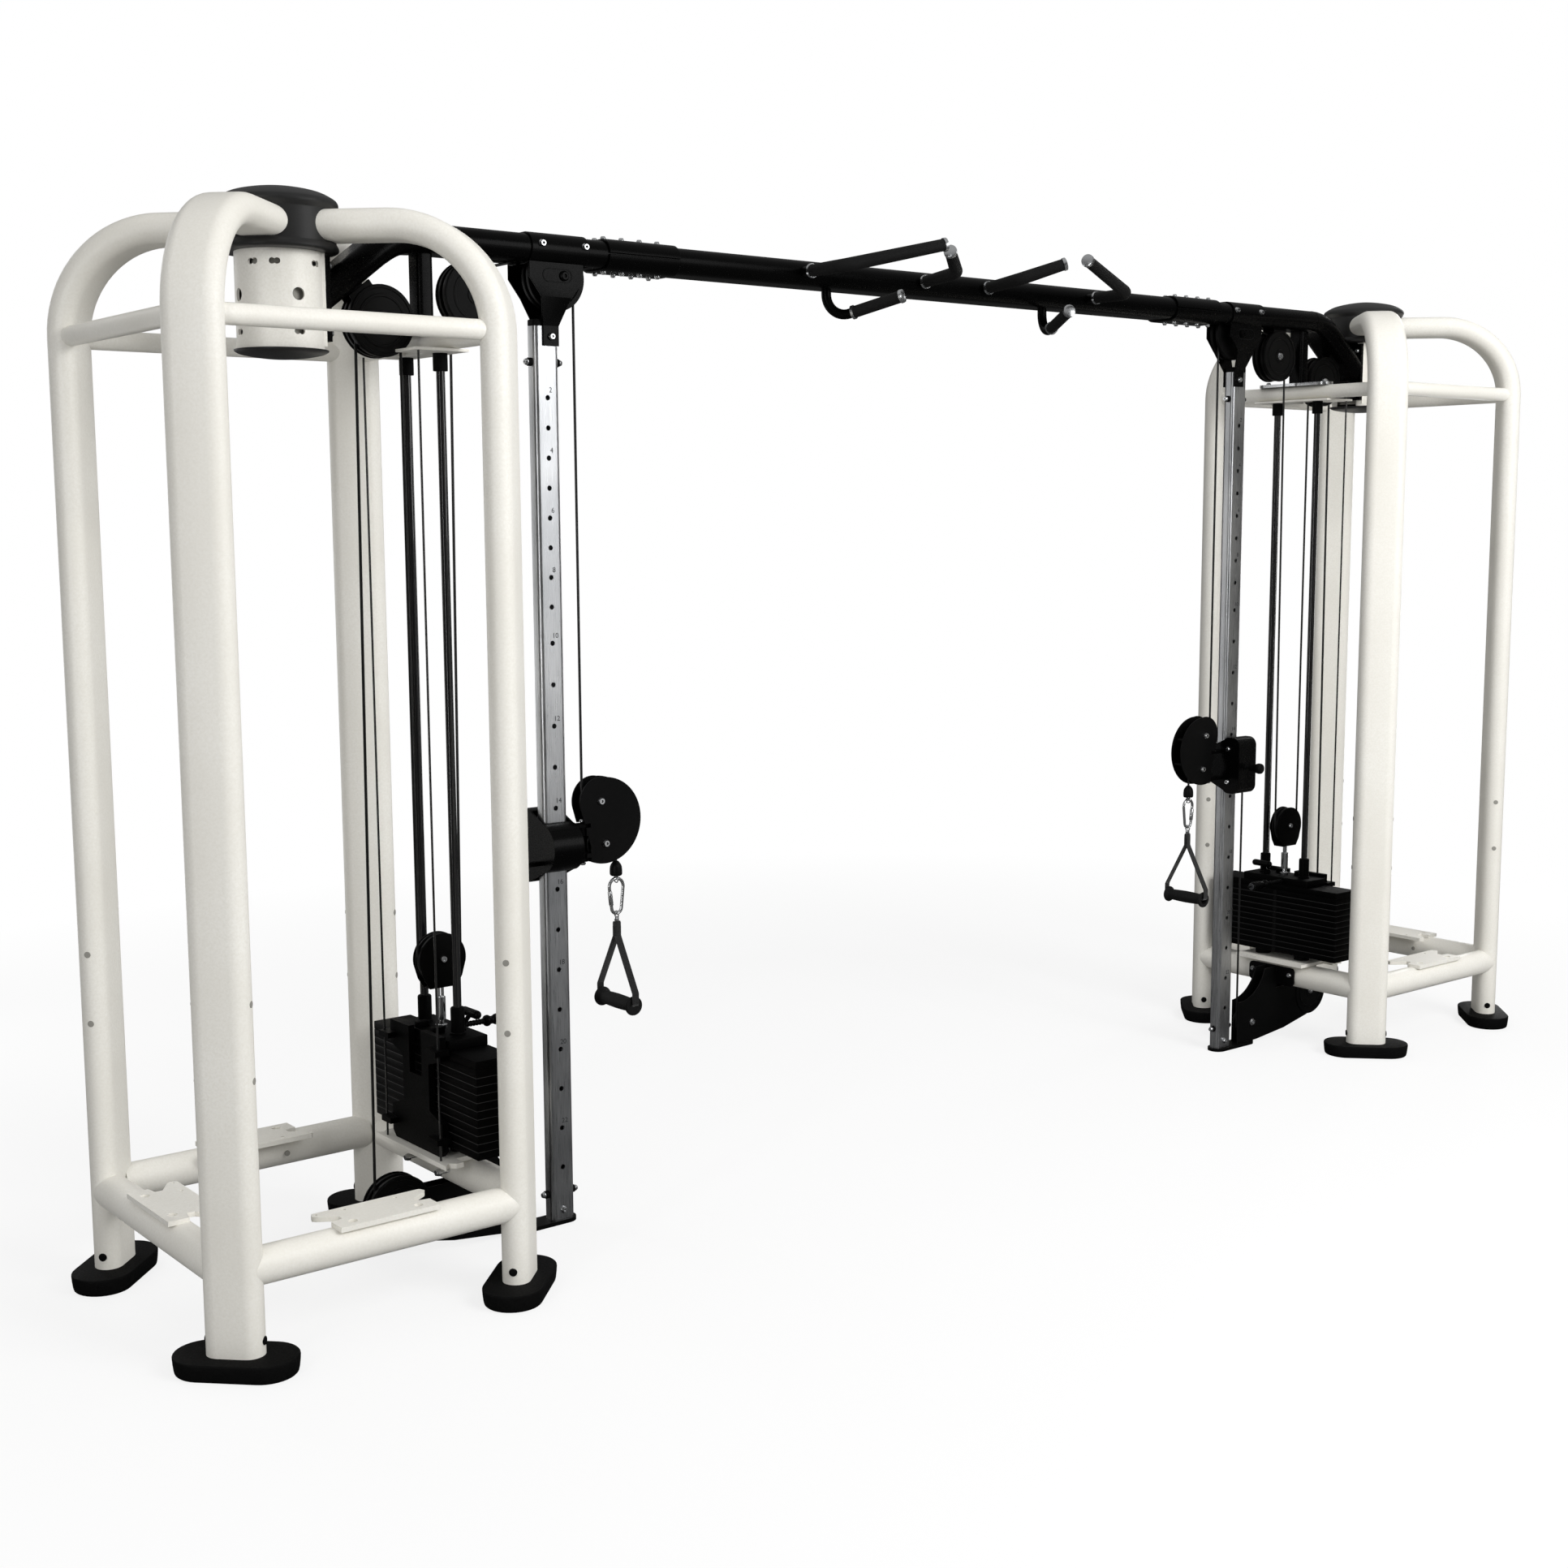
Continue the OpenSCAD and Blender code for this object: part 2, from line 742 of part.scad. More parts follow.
// Runs between the floating pulley and the boom, which shorten as the stack rises
module stack_cables() {
    color(cable_black) both_ends() {
        cable_run([run_in_x, float_c[1]], on_circle(beam_c, big_r, 0));
        cable_run([run_out_x, float_c[1]], [run_out_x, hub_c[1]]);
    }
}

// Runs above and below the carriage, which change length as it slides
module column_cables() {
    color(cable_black) both_ends() {
        cable_run([run_front_x, upper_c[1]], [run_front_x, top_c[1]]);
        cable_run([run_rear_x, foot_c[1]], [run_rear_x, body_z - 42]);
    }
}

// Bolts, nuts and axles of the frame
module axle(c, d, half) {
    translate([c[0], 0, c[1]]) {
        y_rod(d, -half, half);
        for (s = [-1, 1]) rotate([s * 90, 0, 0]) translate([0, 0, half]) button_head(d + 8, 7);
    }
}

module frame_bolts() {
    color(chrome) both_ends() {
        axle(top_c, 15, 47);
        axle(beam_c, 15, 22);
        axle(hub_c, 15, 22);
        axle(base_c, 15, 20);
        axle(foot_c, 15, 20);
        for (i = [0 : 3], s = [-1, 1], up = [0, 180])
            translate([coupler_x[0] + 37 + i * 50.4, s * 18, beam_z]) rotate([up, 0, 0]) translate([0, 0, tube_d / 2 + 5])
                button_head(13, 7);
        difference() {
            for (s = [-90, 90], x = [1155, 1269]) translate([x, 0, beam_z + 8]) rotate([s, 0, 0])
                translate([0, 0, 54]) button_head(17, 17);
            translate([1140, 0, beam_z]) rotate([0, 90, 0]) linear_extrude(160) oval(tube_w + 8, tube_d + 8);
        }
        for (s = [-90, 90]) {
            translate([1224, 0, 2089]) rotate([s, 0, 0]) translate([0, 0, column_d / 2 + 4]) button_head(17, 8);
            translate([column_x, 0, 32]) rotate([s, 0, 0]) translate([0, 0, column_d / 2]) button_head(17, 8);
        }
        for (z = stop_z, s = [-90, 90]) translate([column_x, 0, z]) rotate([0, s, 0])
            translate([0, 0, column_w / 2 + 9]) button_head(15, 8);
        for (y = [-44, 44], z = [hub_low + 36, hub_low + 172])
            translate([hub_plate_x, y, z]) rotate([0, -90, 0]) button_head(15, 8);
        for (y = [-72, 72]) translate([inner_rail_x, y, base_rail_z]) {
            translate([-base_rail_d / 2 - 6, 0, 5]) rotate([0, -90, 0]) button_head(17, 8);
            difference() {
                translate([0, 0, 5]) {
                    x_rod(10, base_rail_d / 2 - 3, base_rail_d / 2 + 26);
                    translate([base_rail_d / 2 + 22, 0, 0]) rotate([0, 90, 0]) button_head(17, 13);
                }
                rotate([90, 0, 0]) cylinder(d = base_rail_d, h = 60, center = true);
            }
        }
        for (s = [-1, 1]) translate([inner_ring_x, s * 106, ring_top + 9]) button_head(15, 8);
    }
}

// Carriage on the column

module carriage_outline() {
    translate([-49, body_z]) rounded(66, 174, 26);
    translate([18, body_z]) circle(r = 57);
    polygon([
        [-54, body_z + 87], [-42, body_z + 87], [28, body_z + 56], [28, body_z - 56], [-42, body_z - 87],
        [-54, body_z - 87]]);
}

module carriage() {
    side = column_w / 2 + 4;
    side_t = 5;
    color(black_coat) difference() {
        union() {
            for (s = [-1, 1]) yz_plate(column_x + s * (side + side_t / 2) - side_t / 2,
                                       column_x + s * (side + side_t / 2) + side_t / 2) carriage_outline();
            yz_plate(column_x - side, column_x + side) difference() {
                carriage_outline();
                translate([-47, body_z]) rounded(64, 166, 23);
                translate([18, body_z]) circle(r = 53);
                translate([-54, body_z - 83]) square([54, 166]);
                translate([-24, body_z - 100]) square([47, 200]);
            }
            for (s = [-1, 1]) translate([column_x - side, s * 25 - 7 + s * gap, body_z - 45])
                cube([2 * side, 14, 90]);
            translate([column_x, 0, pin_z]) y_rod(26, -80, -32);
            for (z = [body_z - 46, body_z + 36.5]) translate([0, 0, z]) linear_extrude(9) {
                translate([run_front_x, 0]) circle(r = 13);
                translate([run_front_x, -13]) square([column_x - side - run_front_x, 26]);
            }
            translate([column_x + side, -2, body_z - 42]) cube([run_rear_x - column_x - side + 12, 14, 10]);
        }
        for (z = [body_z - 92, body_z + 92]) translate([column_x, 0, z]) x_rod(44, -60, 60);
        translate([column_x, 0, pin_z]) y_rod(10 + 2 * run_gap, -120, -10);
        translate([column_x - column_w / 2 - gap, -column_d / 2 - gap, body_z - 100])
            cube([column_w + 2 * gap, column_d + 2 * gap, 200]);
    }
    color(chrome) {
        translate([run_front_x, 0, body_z - 50]) cylinder(d = 10, h = 100);
        for (z = [body_z - 51, body_z + 51]) translate([column_x - side - side_t, -40, z]) rotate([0, -90, 0])
            button_head(15, 7);
    }
}

// Sprung knob whose pin drops into the column's holes
module pull_pin() {
    color(chrome) translate([column_x, 0, pin_z]) y_rod(10, -101, -column_d / 2 - gap);
    color(black_coat) translate([column_x, 0, pin_z]) rotate([90, 0, 0]) rotate_extrude() polygon([
        [0, 95], [10, 95], [10, 115], [15, 119], [16, 125], [16, 132], [12, 137], [0, 138]]);
}

// Swivel housing that hangs on the carriage's hinge
module housing_outline() {
    disc = [1098.5, 964.5];
    disc_r = 104;
    link(upper_c, 58, [1097, 925], 45);
    intersection() {
        translate(disc) circle(r = disc_r);
        translate(disc - [disc_r, disc_r]) square([run_front_x - 12 - disc[0] + disc_r, 2 * disc_r]);
    }
    for (z = [body_z + 17, body_z - 36]) translate([1090, z]) square([60, z > body_z ? 19 : 10]);
}

module swivel_housing() {
    color(black_coat) difference() {
        union() {
            mirrored_y() xz_plate(16, 19) housing_outline();
            for (k = [[body_z + 17, 19], [body_z - 36, 10]]) translate([run_front_x, 0, k[0]]) {
                cylinder(r = 13, h = k[1]);
                translate([-12.5, -17, 0]) cube([12.5, 34, k[1]]);
            }
            for (c = [[1016, 1004], [1008, 930]]) translate([c[0], 0, c[1]]) y_rod(9, -16, 16);
        }
        translate([run_front_x, 0, body_z - 60]) cylinder(d = 10 + 2 * run_gap, h = 140);
        for (z = [body_z + 36.2, body_z - 46.2]) translate([run_front_x - 12, -40, z]) cube([60, 80, 10]);
    }
    color(chrome) for (c = [upper_c, lower_c]) axle(c, 10, 19);
}

module upper_swivel_pulley() {
    color(rubber) translate([upper_c[0], 0, upper_c[1]]) pulley(swivel_r, 22, 10 + 2 * run_gap, swivel_r + rim_lip);
}

module lower_swivel_pulley() {
    color(rubber) translate([lower_c[0], 0, lower_c[1]]) pulley(swivel_r, 22, 10 + 2 * run_gap, swivel_r + rim_lip);
}

// Cable through the swivel, round one pulley and back over the other
module pull_cable() {
    way = heading(upper_c, lower_c) + inner_half(upper_c, swivel_r, lower_c, swivel_r);
    color(cable_black) {
        cable_arc(upper_c, swivel_r, way, 0);
        cable_link(on_circle(upper_c, swivel_r, way), on_circle(lower_c, swivel_r, way + 180));
        cable_arc(lower_c, swivel_r, way + 180, 180);
        cable_link([pull_x, lower_c[1]], [pull_x, ball_top + lap + gap]);
    }
}

// Handle that hangs from the cable

// Eye that closes round a link, axis along x, with a block to what it hangs on
module eye(z, block_low, block_high) {
    translate([pull_x, 0, 0]) difference() {
        union() {
            translate([0, 0, z]) x_rod(19, -4, 4);
            translate([-4, -6, block_low]) cube([8, 12, block_high - block_low]);
        }
        translate([0, 0, z]) x_rod(13, -5, 5);
    }
}

module carabiner() {
    top = [pull_x, 797];
    low = [pull_x, 745];
    rod = 8;
    half = outer_half(top, 20, low, 14);
    way = heading(top, low);
    color(chrome) {
        translate([top[0], 0, top[1]]) rotate([90, 0, 0]) rotate([0, 0, way + half])
            rotate_extrude(angle = 360 - 2 * half) translate([20, 0]) circle(d = rod);
        translate([low[0], 0, low[1]]) rotate([90, 0, 0]) rotate([0, 0, way - half])
            rotate_extrude(angle = 2 * half) translate([14, 0]) circle(d = rod);
        for (s = [-1, 1]) {
            a = on_circle(top, 20, way + s * half);
            b = on_circle(low, 14, way + s * half);
            v = lap * (b - a) / norm(b - a);
            from = a - v;
            to = b + v;
            bar([from[0], 0, from[1]], [to[0], 0, to[1]], rod + weld);
        }
        eye(815, 821, ball_low);
        eye(729, 712, 723);
    }
    color(rubber) translate([pull_x, 0, 0]) rotate_extrude() polygon([
        [0, ball_low], [14, ball_low], [15, ball_low + 4], [15, ball_low + 16], [13, ball_low + 26],
        [8, ball_top - 3], [cable_d / 2 + 2, ball_top], [0, ball_top]]);
}

// Webbing loop, stitched above and open below to pass through the grip
module handle_strap() {
    t = 3;
    side = 78;
    bend_z = grip_z + 32;
    color(cable_black) yz_plate(pull_x - 9, pull_x + 9) difference() {
        polygon([
            [-5, 712], [5, 712], [5, 676], [side, bend_z], [side, grip_z - t / 2], [-side, grip_z - t / 2],
            [-side, bend_z], [-5, 676]]);
        polygon([
            [0, 672], [side - 4, bend_z - 1], [side - 4, grip_z + t / 2], [4 - side, grip_z + t / 2],
            [4 - side, bend_z - 1]]);
    }
}

module handle_grip() {
    color(rubber) translate([pull_x, 0, grip_z]) rotate([90, 0, 0]) rotate_extrude() polygon([
        [13, -71], [22, -71], [23.5, -67], [22, -63], [16, -57], [17.5, -27], [18, 0], [17.5, 27], [16, 57],
        [22, 63], [23.5, 67], [22, 71], [13, 71]]);
}

// Pieces that rise with the weight

module stack_head() {
    color(black_coat) {
        translate([0, 0, lift_z]) stack_plate(plate_t);
        difference() {
            translate([stack_x - plate_w / 2, -head_l / 2, head_z]) cube([plate_w, head_l, head_t]);
            for (s = [-1, 1]) translate([stack_x, s * rod_y, head_z - 1]) cylinder(d = rod_d + 2 * gap, h = 60);
            translate([stack_x, 0, head_z - 1]) linear_extrude(60) square([25, 40], center = true);
            translate([0, selector_y, selector_z]) x_rod(10 + 2 * run_gap, stack_x - plate_w, stack_x + 13);
        }
        for (s = [-1, 1]) translate([stack_x, s * rod_y, head_top]) sleeve(32, rod_d + 2 * gap, 62);
        mirrored_y() xz_plate(13, 17) difference() {
            union() {
                translate(float_c) circle(r = float_r + 5);
                polygon([
                    float_c + [-56, -10], float_c + [56, -10], float_c + [48, -44], float_c + [34, -66],
                    float_c + [-34, -66], float_c + [-48, -44]]);
            }
            translate(float_c) circle(d = 12);
        }
        translate([stack_x - 34, -13, float_c[1] - 66]) cube([68, 26, 5]);
    }
    color(grey_steel) {
        translate([stack_x, 0, stack_foot + 8]) linear_extrude(head_top + 6 - stack_foot - 8)
            square([25, 40], center = true);
        translate([stack_x, 0, head_top + 6]) cylinder(d = 12, h = 14);
        translate([stack_x, 0, head_top + 20]) cylinder(d = 22, h = 52);
        for (s = [-1, 1]) translate([stack_x + s * 5, 0, head_top + 72])
            cylinder(d = 7, h = float_c[1] - 66 - head_top - 72);
    }
    color(chrome) translate([float_c[0], 0, float_c[1]]) {
        y_rod(12, -17, 17);
        for (s = [-1, 1]) rotate([s * 90, 0, 0]) translate([0, 0, 17]) button_head(18, 7);
    }
    color(cable_black) cable_arc(float_c, float_r, 180, 360);
}

module floating_pulley() {
    color(rubber) translate([float_c[0], 0, float_c[1]]) pulley(float_r, 22, 12 + 2 * run_gap, float_r + rim_lip);
}

// Selector pin with its ridged shank, grip and tail
module selector_pin() {
    face = plate_w / 2 + gap;
    color(black_coat) translate([stack_x, selector_y, selector_z]) rotate([0, -90, 0]) {
        translate([0, 0, -12]) cylinder(d = 10, h = face + 12);
        for (i = [0 : 9]) translate([0, 0, face + i * 8]) {
            cylinder(d = 14, h = 5);
            translate([0, 0, 5]) cylinder(d = 11, h = 3);
        }
        translate([0, 0, face + 80]) rotate_extrude() polygon([
            [0, 0], [11, 0], [13, 3], [13, 10], [9.5, 14], [9.5, 22], [13, 28], [13.5, 66], [11.5, 74], [0, 74]]);
        translate([0, 0, face + 154]) cylinder(d = 5, h = 21);
    }
}

// Extra weight on the guide wires beside the stack, narrow at the middle, open above for the floating pulley
module addon_weight() {
    x0 = stack_x + plate_w / 2 + 5;
    low = stack_low + gap;
    high = 537;
    wing = 116;
    waist = 60;
    color(black_coat) difference() {
        union() {
            yz_plate(x0, x0 + 15) difference() {
                polygon([
                    [14 - wing, low], [wing - 14, low], [wing, low + 14], [wing, low + 78], [waist, low + 98],
                    [waist, low + 204], [wing, low + 222], [wing, high], [-wing, high], [-wing, low + 222],
                    [-waist, low + 204], [-waist, low + 98], [-wing, low + 78], [-wing, low + 14]]);
                translate([-28, low + 170]) square([56, 150]);
            }
            for (s = [-1, 1], z = [low + 36, low + 238]) translate([x0, s * 110 - 22, z]) cube([36, 44, 13]);
        }
        for (s = [-1, 1]) translate([wire[0], s * wire[1], low]) cylinder(d = 5 + 2 * gap, h = 400);
    }
}

// Lever on the head plate that picks up the extra weight
lever_at = [stack_x - 22, 52];
module addon_lever() {
    low = head_top + gap;
    color(black_coat) translate([lever_at[0], lever_at[1], 0]) {
        translate([0, 0, low]) cylinder(d = 22, h = 12);
        bar([0, 0, low + 6], [-26, 0, low + 36], 11);
        translate([-26, 0, low + 36]) y_rod(20, -27, 27);
        for (s = [-1, 1]) translate([-26, s * 27, low + 36]) sphere(d = 20);
    }
}

// Pulleys of the frame

module column_top_pulley() {
    color(rubber) translate([top_c[0], 0, top_c[1]]) pulley(big_r, 30, 15 + 2 * run_gap, big_rim_r);
}

module beam_pulley() {
    color(rubber) translate([beam_c[0], 0, beam_c[1]]) pulley(big_r, 30, 15 + 2 * run_gap, big_rim_r);
}

module hub_pulley() {
    color(rubber) translate([hub_c[0], 0, hub_c[1]]) pulley(big_r, 30, 15 + 2 * run_gap, big_rim_r);
}

module base_pulley() {
    color(rubber) translate([base_c[0], 0, base_c[1]]) pulley(big_r, 30, 15 + 2 * run_gap, big_rim_r);
}

module column_foot_pulley() {
    color(rubber) translate([foot_c[0], 0, foot_c[1]]) pulley(foot_r, 30, 15 + 2 * run_gap, foot_r + rim_lip);
}

feet_and_stops();
legs();
base_rails();
ring_rails();
hub_tubes();
hub_caps();
boom_arms();
cross_beam();
coupler_shells();
pull_up_bars();
pull_up_grips();
boom_struts();
column_heads();
columns();
lower_booms();
pulley_guards();
guide_rods();
weight_plates();
drive_cables();
stack_cables();
column_cables();
frame_bolts();
turned() carriage();  // left_carriage
turned() pull_pin();  // left_pull_pin
turned() swivel_housing();  // left_swivel_housing
turned() upper_swivel_pulley();  // left_upper_swivel_pulley
turned() lower_swivel_pulley();  // left_lower_swivel_pulley
turned() pull_cable();  // left_pull_cable
turned() carabiner();  // left_carabiner
turned() handle_strap();  // left_handle_strap
turned() handle_grip();  // left_handle_grip
turned() stack_head();  // left_stack_head
turned() floating_pulley();  // left_floating_pulley
turned() selector_pin();  // left_selector_pin
turned() addon_weight();  // left_addon_weight
turned() addon_lever();  // left_addon_lever
turned() column_top_pulley();  // left_column_top_pulley
turned() beam_pulley();  // left_beam_pulley
turned() hub_pulley();  // left_hub_pulley
turned() base_pulley();  // left_base_pulley
turned() column_foot_pulley();  // left_column_foot_pulley
carriage();  // right_carriage
pull_pin();  // right_pull_pin
swivel_housing();  // right_swivel_housing
upper_swivel_pulley();  // right_upper_swivel_pulley
lower_swivel_pulley();  // right_lower_swivel_pulley
pull_cable();  // right_pull_cable
carabiner();  // right_carabiner
handle_strap();  // right_handle_strap
handle_grip();  // right_handle_grip
stack_head();  // right_stack_head
floating_pulley();  // right_floating_pulley
selector_pin();  // right_selector_pin
addon_weight();  // right_addon_weight
addon_lever();  // right_addon_lever
column_top_pulley();  // right_column_top_pulley
beam_pulley();  // right_beam_pulley
hub_pulley();  // right_hub_pulley
base_pulley();  // right_base_pulley
column_foot_pulley();  // right_column_foot_pulley
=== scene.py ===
import json
import math

import bmesh
import bpy
from bpy.props import FloatProperty, PointerProperty
from mathutils import Matrix, Vector

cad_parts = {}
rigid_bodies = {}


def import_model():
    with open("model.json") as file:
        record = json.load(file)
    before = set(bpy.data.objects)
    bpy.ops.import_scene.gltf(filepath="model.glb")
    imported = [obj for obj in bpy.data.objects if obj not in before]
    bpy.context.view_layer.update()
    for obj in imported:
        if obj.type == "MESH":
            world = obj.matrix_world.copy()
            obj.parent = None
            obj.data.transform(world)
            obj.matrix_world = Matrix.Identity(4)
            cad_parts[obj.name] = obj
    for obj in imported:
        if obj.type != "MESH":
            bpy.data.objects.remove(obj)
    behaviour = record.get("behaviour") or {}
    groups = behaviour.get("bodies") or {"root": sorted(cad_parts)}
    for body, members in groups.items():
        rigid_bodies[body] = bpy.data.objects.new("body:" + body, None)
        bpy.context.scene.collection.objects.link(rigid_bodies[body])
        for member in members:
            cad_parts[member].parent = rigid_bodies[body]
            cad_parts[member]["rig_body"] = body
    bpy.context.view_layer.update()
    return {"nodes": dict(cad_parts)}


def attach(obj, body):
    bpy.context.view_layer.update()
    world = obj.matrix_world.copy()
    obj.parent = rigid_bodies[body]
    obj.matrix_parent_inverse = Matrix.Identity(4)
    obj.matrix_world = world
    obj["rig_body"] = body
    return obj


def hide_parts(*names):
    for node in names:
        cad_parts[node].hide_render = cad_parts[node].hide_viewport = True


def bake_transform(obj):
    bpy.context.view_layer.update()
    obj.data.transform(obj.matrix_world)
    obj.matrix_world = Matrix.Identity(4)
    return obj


bl_info = {
    "name": "Cable crossover machine",
    "version": (1, 0, 0),
    "blender": (4, 5, 0),
    "location": "View3D > Sidebar > Crossover",
    "description": "Dresses the solids of a twin tower cable crossover machine",
    "category": "Object",
}

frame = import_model()
MM = 0.001
SHARP_DEGREES = 38
SIDES = (("left", -1), ("right", 1))

# Places in millimetres at the right-hand end, the same as in the part's source
TOWER_X = 1871
LEG_OFFSET = 327
LEG_RADIUS = LEG_OFFSET * math.sqrt(2)
TUBE = (120, 62)
LEG_TOP = 2277
LEG_BEND = 220
BEAM_Z = 2280
COLUMN_X = 1234
COLUMN = (64, 36)
PIN_Z = 910
BODY_Z = 915
STACK_X = 1541
ROD_Y = 76
STACK_FOOT = 281
PLATE = (98, 476, 18.6)
PLATE_GAP = 0.1
RESTING_PLATES = 11
LIFT_Z = STACK_FOOT + RESTING_PLATES * PLATE[2] + 0.4
HEAD_Z = LIFT_Z + PLATE[2]
HEAD_TOP = HEAD_Z + 23
HEAD_LENGTH = 250
FLOAT_C = (STACK_X, 690)
FLOAT_R = 54
TOP_X = 1203
TOP_Z = 2222
BEAM_C = (1417, 2168)
BEAM_PULLEY_R = 53
HUB_C = (1648, 2100)
BASE_C = (1668, 130)
FRONT_RUN = 1150
REAR_RUN = 1316
REAR_RUN_Z = (71, BODY_Z - 42)
UPPER_C = (1109, 1012)
LOWER_C = (1097, 909)
SWIVEL_R = 41
PULL_X = 1056
BALL = (824, 860)
GRIP_Z = 514
SELECTOR = (-28, HEAD_Z + 11.5)
PLATE_HOLE_Y = -3
CABLE_R = 3.125
BASE_RAIL = (330, 210, 39)

# Small details: heights, offsets and sizes in millimetres
FOOT_LEVELS = ((6, 0), (4, 2), (2.5, 8), (0.8, 22), (0, 33), (0.5, 35.4), (1.6, 36.6), (3, 37))
PLUG_Z = 66
SHROUD_HOLE_Z = (594, 747)
RAIL_HOLE_OFFSET = 76
STOP_WASHER_Z = (72, 2032)
COLUMN_PLUG_Z = (2111, 2127)
ROD_PLATE_TOP = 2045
RING_PLATE_Z = (2070, 2092)
AXLE_END_R = 20
HEAD_SLOT = (76, 29)
HEAD_SLOT_SHIFT = 17
HEAD_CHEEK = 47
LOWER_HOLES = (138, 96.5, 14)
UPPER_HOLES = (1476, 68, 8)
FIRST_NUMBER = 2
NUMBER_SHIFT = (8, 12)
NUMBER_LIFT = 0.2
NUMBER_RELIEF = 0.15
CARRIAGE_SCREW = (COLUMN_X - 41, -40)
CARRIAGE_SCREW_RISE = 51
HOOK_TOP = (PULL_X, 797)
HOOK_TOP_R = 20
HOOK_LOW = (PULL_X, 745)
HOOK_LOW_R = 14

# The camera that took the photograph, solved from the towers' straight edges
CAMERA_PLACE = (-3718.17, -3970.12, 1669.73)
CAMERA_TURN = (0.6759, -0.1305, -0.0048)
FOCAL_PIXELS = 2464.975
PHOTO_PIXELS = 1932
SENSOR_MM = 36

# Shares of a lamp's watts that its smaller partner gives
LOW_STRIP_SHARE = 0.09
RIGHT_STRIP_SHARE = 0.6


# Shapes


class Shape:
    """Gathers a piece's faces in millimetres with their material numbers; sign -1 turns them half a turn."""

    def __init__(self, *signs):
        self.signs = signs or (1,)
        self.points = []
        self.faces = []
        self.finish = []
        self.index = 0

    def add(self, points, faces):
        for sign in self.signs:
            first = len(self.points)
            self.points.extend((sign * p[0] * MM, sign * p[1] * MM, p[2] * MM) for p in points)
            self.faces.extend([first + i for i in face] for face in faces)
            self.finish.extend([self.index] * len(faces))

    def rings(self, rings, closed=False):
        n = len(rings[0])
        faces = []
        for k in range(len(rings) if closed else len(rings) - 1):
            a = k * n
            b = (k + 1) % len(rings) * n
            faces.extend((a + i, a + (i + 1) % n, b + (i + 1) % n, b + i) for i in range(n))
        if not closed:
            faces.append(tuple(reversed(range(n))))
            faces.append(tuple(range((len(rings) - 1) * n, len(rings) * n)))
        self.add([p for ring in rings for p in ring], faces)

    def lathe(self, profile, place, axis="z", steps=40):
        """Turns (radius, height) points about a line through place; axis may carry a minus sign."""
        shift = "xyz".index(axis[-1])
        way = -1 if axis[0] == "-" else 1
        rings = []
        for r, h in profile:
            points = [(way * h, r * math.cos(a), r * math.sin(a)) for a in round_angles(steps)]
            rings.append([[p[(k - shift) % 3] + place[k] for k in range(3)] for p in points])
        self.rings(rings)

    def sweep(self, outline, path, across, closed=False):
        """Carries an outline of (side, up) points along a flat path; across is the direction that side keeps."""
        across = Vector(across).normalized()
        rings = []
        for p, way in walk(path, closed):
            up = way.cross(across).normalized()
            rings.append([p + across * s + up * t for s, t in outline])
        self.rings(rings, closed)

    def tube(self, path, radius, sides=16, closed=False):
        """Round tube along any path; radius may be one number or one for each point."""
        normal = None
        rings = []
        for i, (p, way) in enumerate(walk(path, closed)):
            if normal is None:
                normal = way.orthogonal().normalized()
            normal = (normal - way * normal.dot(way)).normalized()
            other = way.cross(normal)
            r = radius[i] if isinstance(radius, (list, tuple)) else radius
            rings.append([p + r * (math.cos(a) * normal + math.sin(a) * other) for a in round_angles(sides)])
        self.rings(rings, closed)

    def prism(self, outline, plane, low, high, edge=1.0):
        """Outline in one plane, given a thickness and softened edges."""
        order = {"xy": (0, 1, 2), "xz": (0, 2, 1), "yz": (2, 0, 1)}[plane]
        steps = ((1.0, 0.0), (0.3, 0.3), (0.0, 1.0))
        levels = [(inset * edge, low + rise * edge) for inset, rise in steps]
        levels += [(inset * edge, high - rise * edge) for inset, rise in reversed(steps)]
        self.rings([[[(*p, h)[k] for k in order] for p in inset_outline(outline, i)] for i, h in levels])


def round_angles(steps):
    """Even angles once round."""
    return [2 * math.pi * i / steps for i in range(steps)]


def walk(path, closed):
    """Each point of a path with the path's direction there."""
    path = [Vector(p) for p in path]
    last = len(path) - 1
    for i, p in enumerate(path):
        before = path[i - 1] if i or closed else p
        after = path[(i + 1) % len(path)] if i < last or closed else p
        yield p, (after - before).normalized()


def inset_outline(outline, distance):
    """Outline moved inwards by the mean of each corner's edge directions."""
    if distance == 0:
        return outline
    area = sum(a[0] * b[1] - b[0] * a[1] for a, b in zip(outline, outline[1:] + outline[:1]))
    turn = 1 if area > 0 else -1
    moved = []
    for before, here, after in zip(outline[-1:] + outline[:-1], outline, outline[1:] + outline[:1]):
        e1 = (Vector(here) - Vector(before)).normalized()
        e2 = (Vector(after) - Vector(here)).normalized()
        n1 = Vector((-e1.y, e1.x))
        n2 = Vector((-e2.y, e2.x))
        half = (n1 + n2).normalized()
        reach = distance / max(0.4, half.dot(n1))
        moved.append((here[0] + turn * half.x * reach, here[1] + turn * half.y * reach))
    return moved


def arc(centre, radius, start, end, steps):
    """Points of an arc in degrees."""
    angles = [math.radians(start + (end - start) * i / steps) for i in range(steps + 1)]
    return [(centre[0] + radius * math.cos(a), centre[1] + radius * math.sin(a)) for a in angles]


def stadium(length, width, steps=14):
    """Flat oval, long along the second direction."""
    half = (length - width) / 2
    return arc((0, half), width / 2, 0, 180, steps) + arc((0, -half), width / 2, 180, 360, steps)


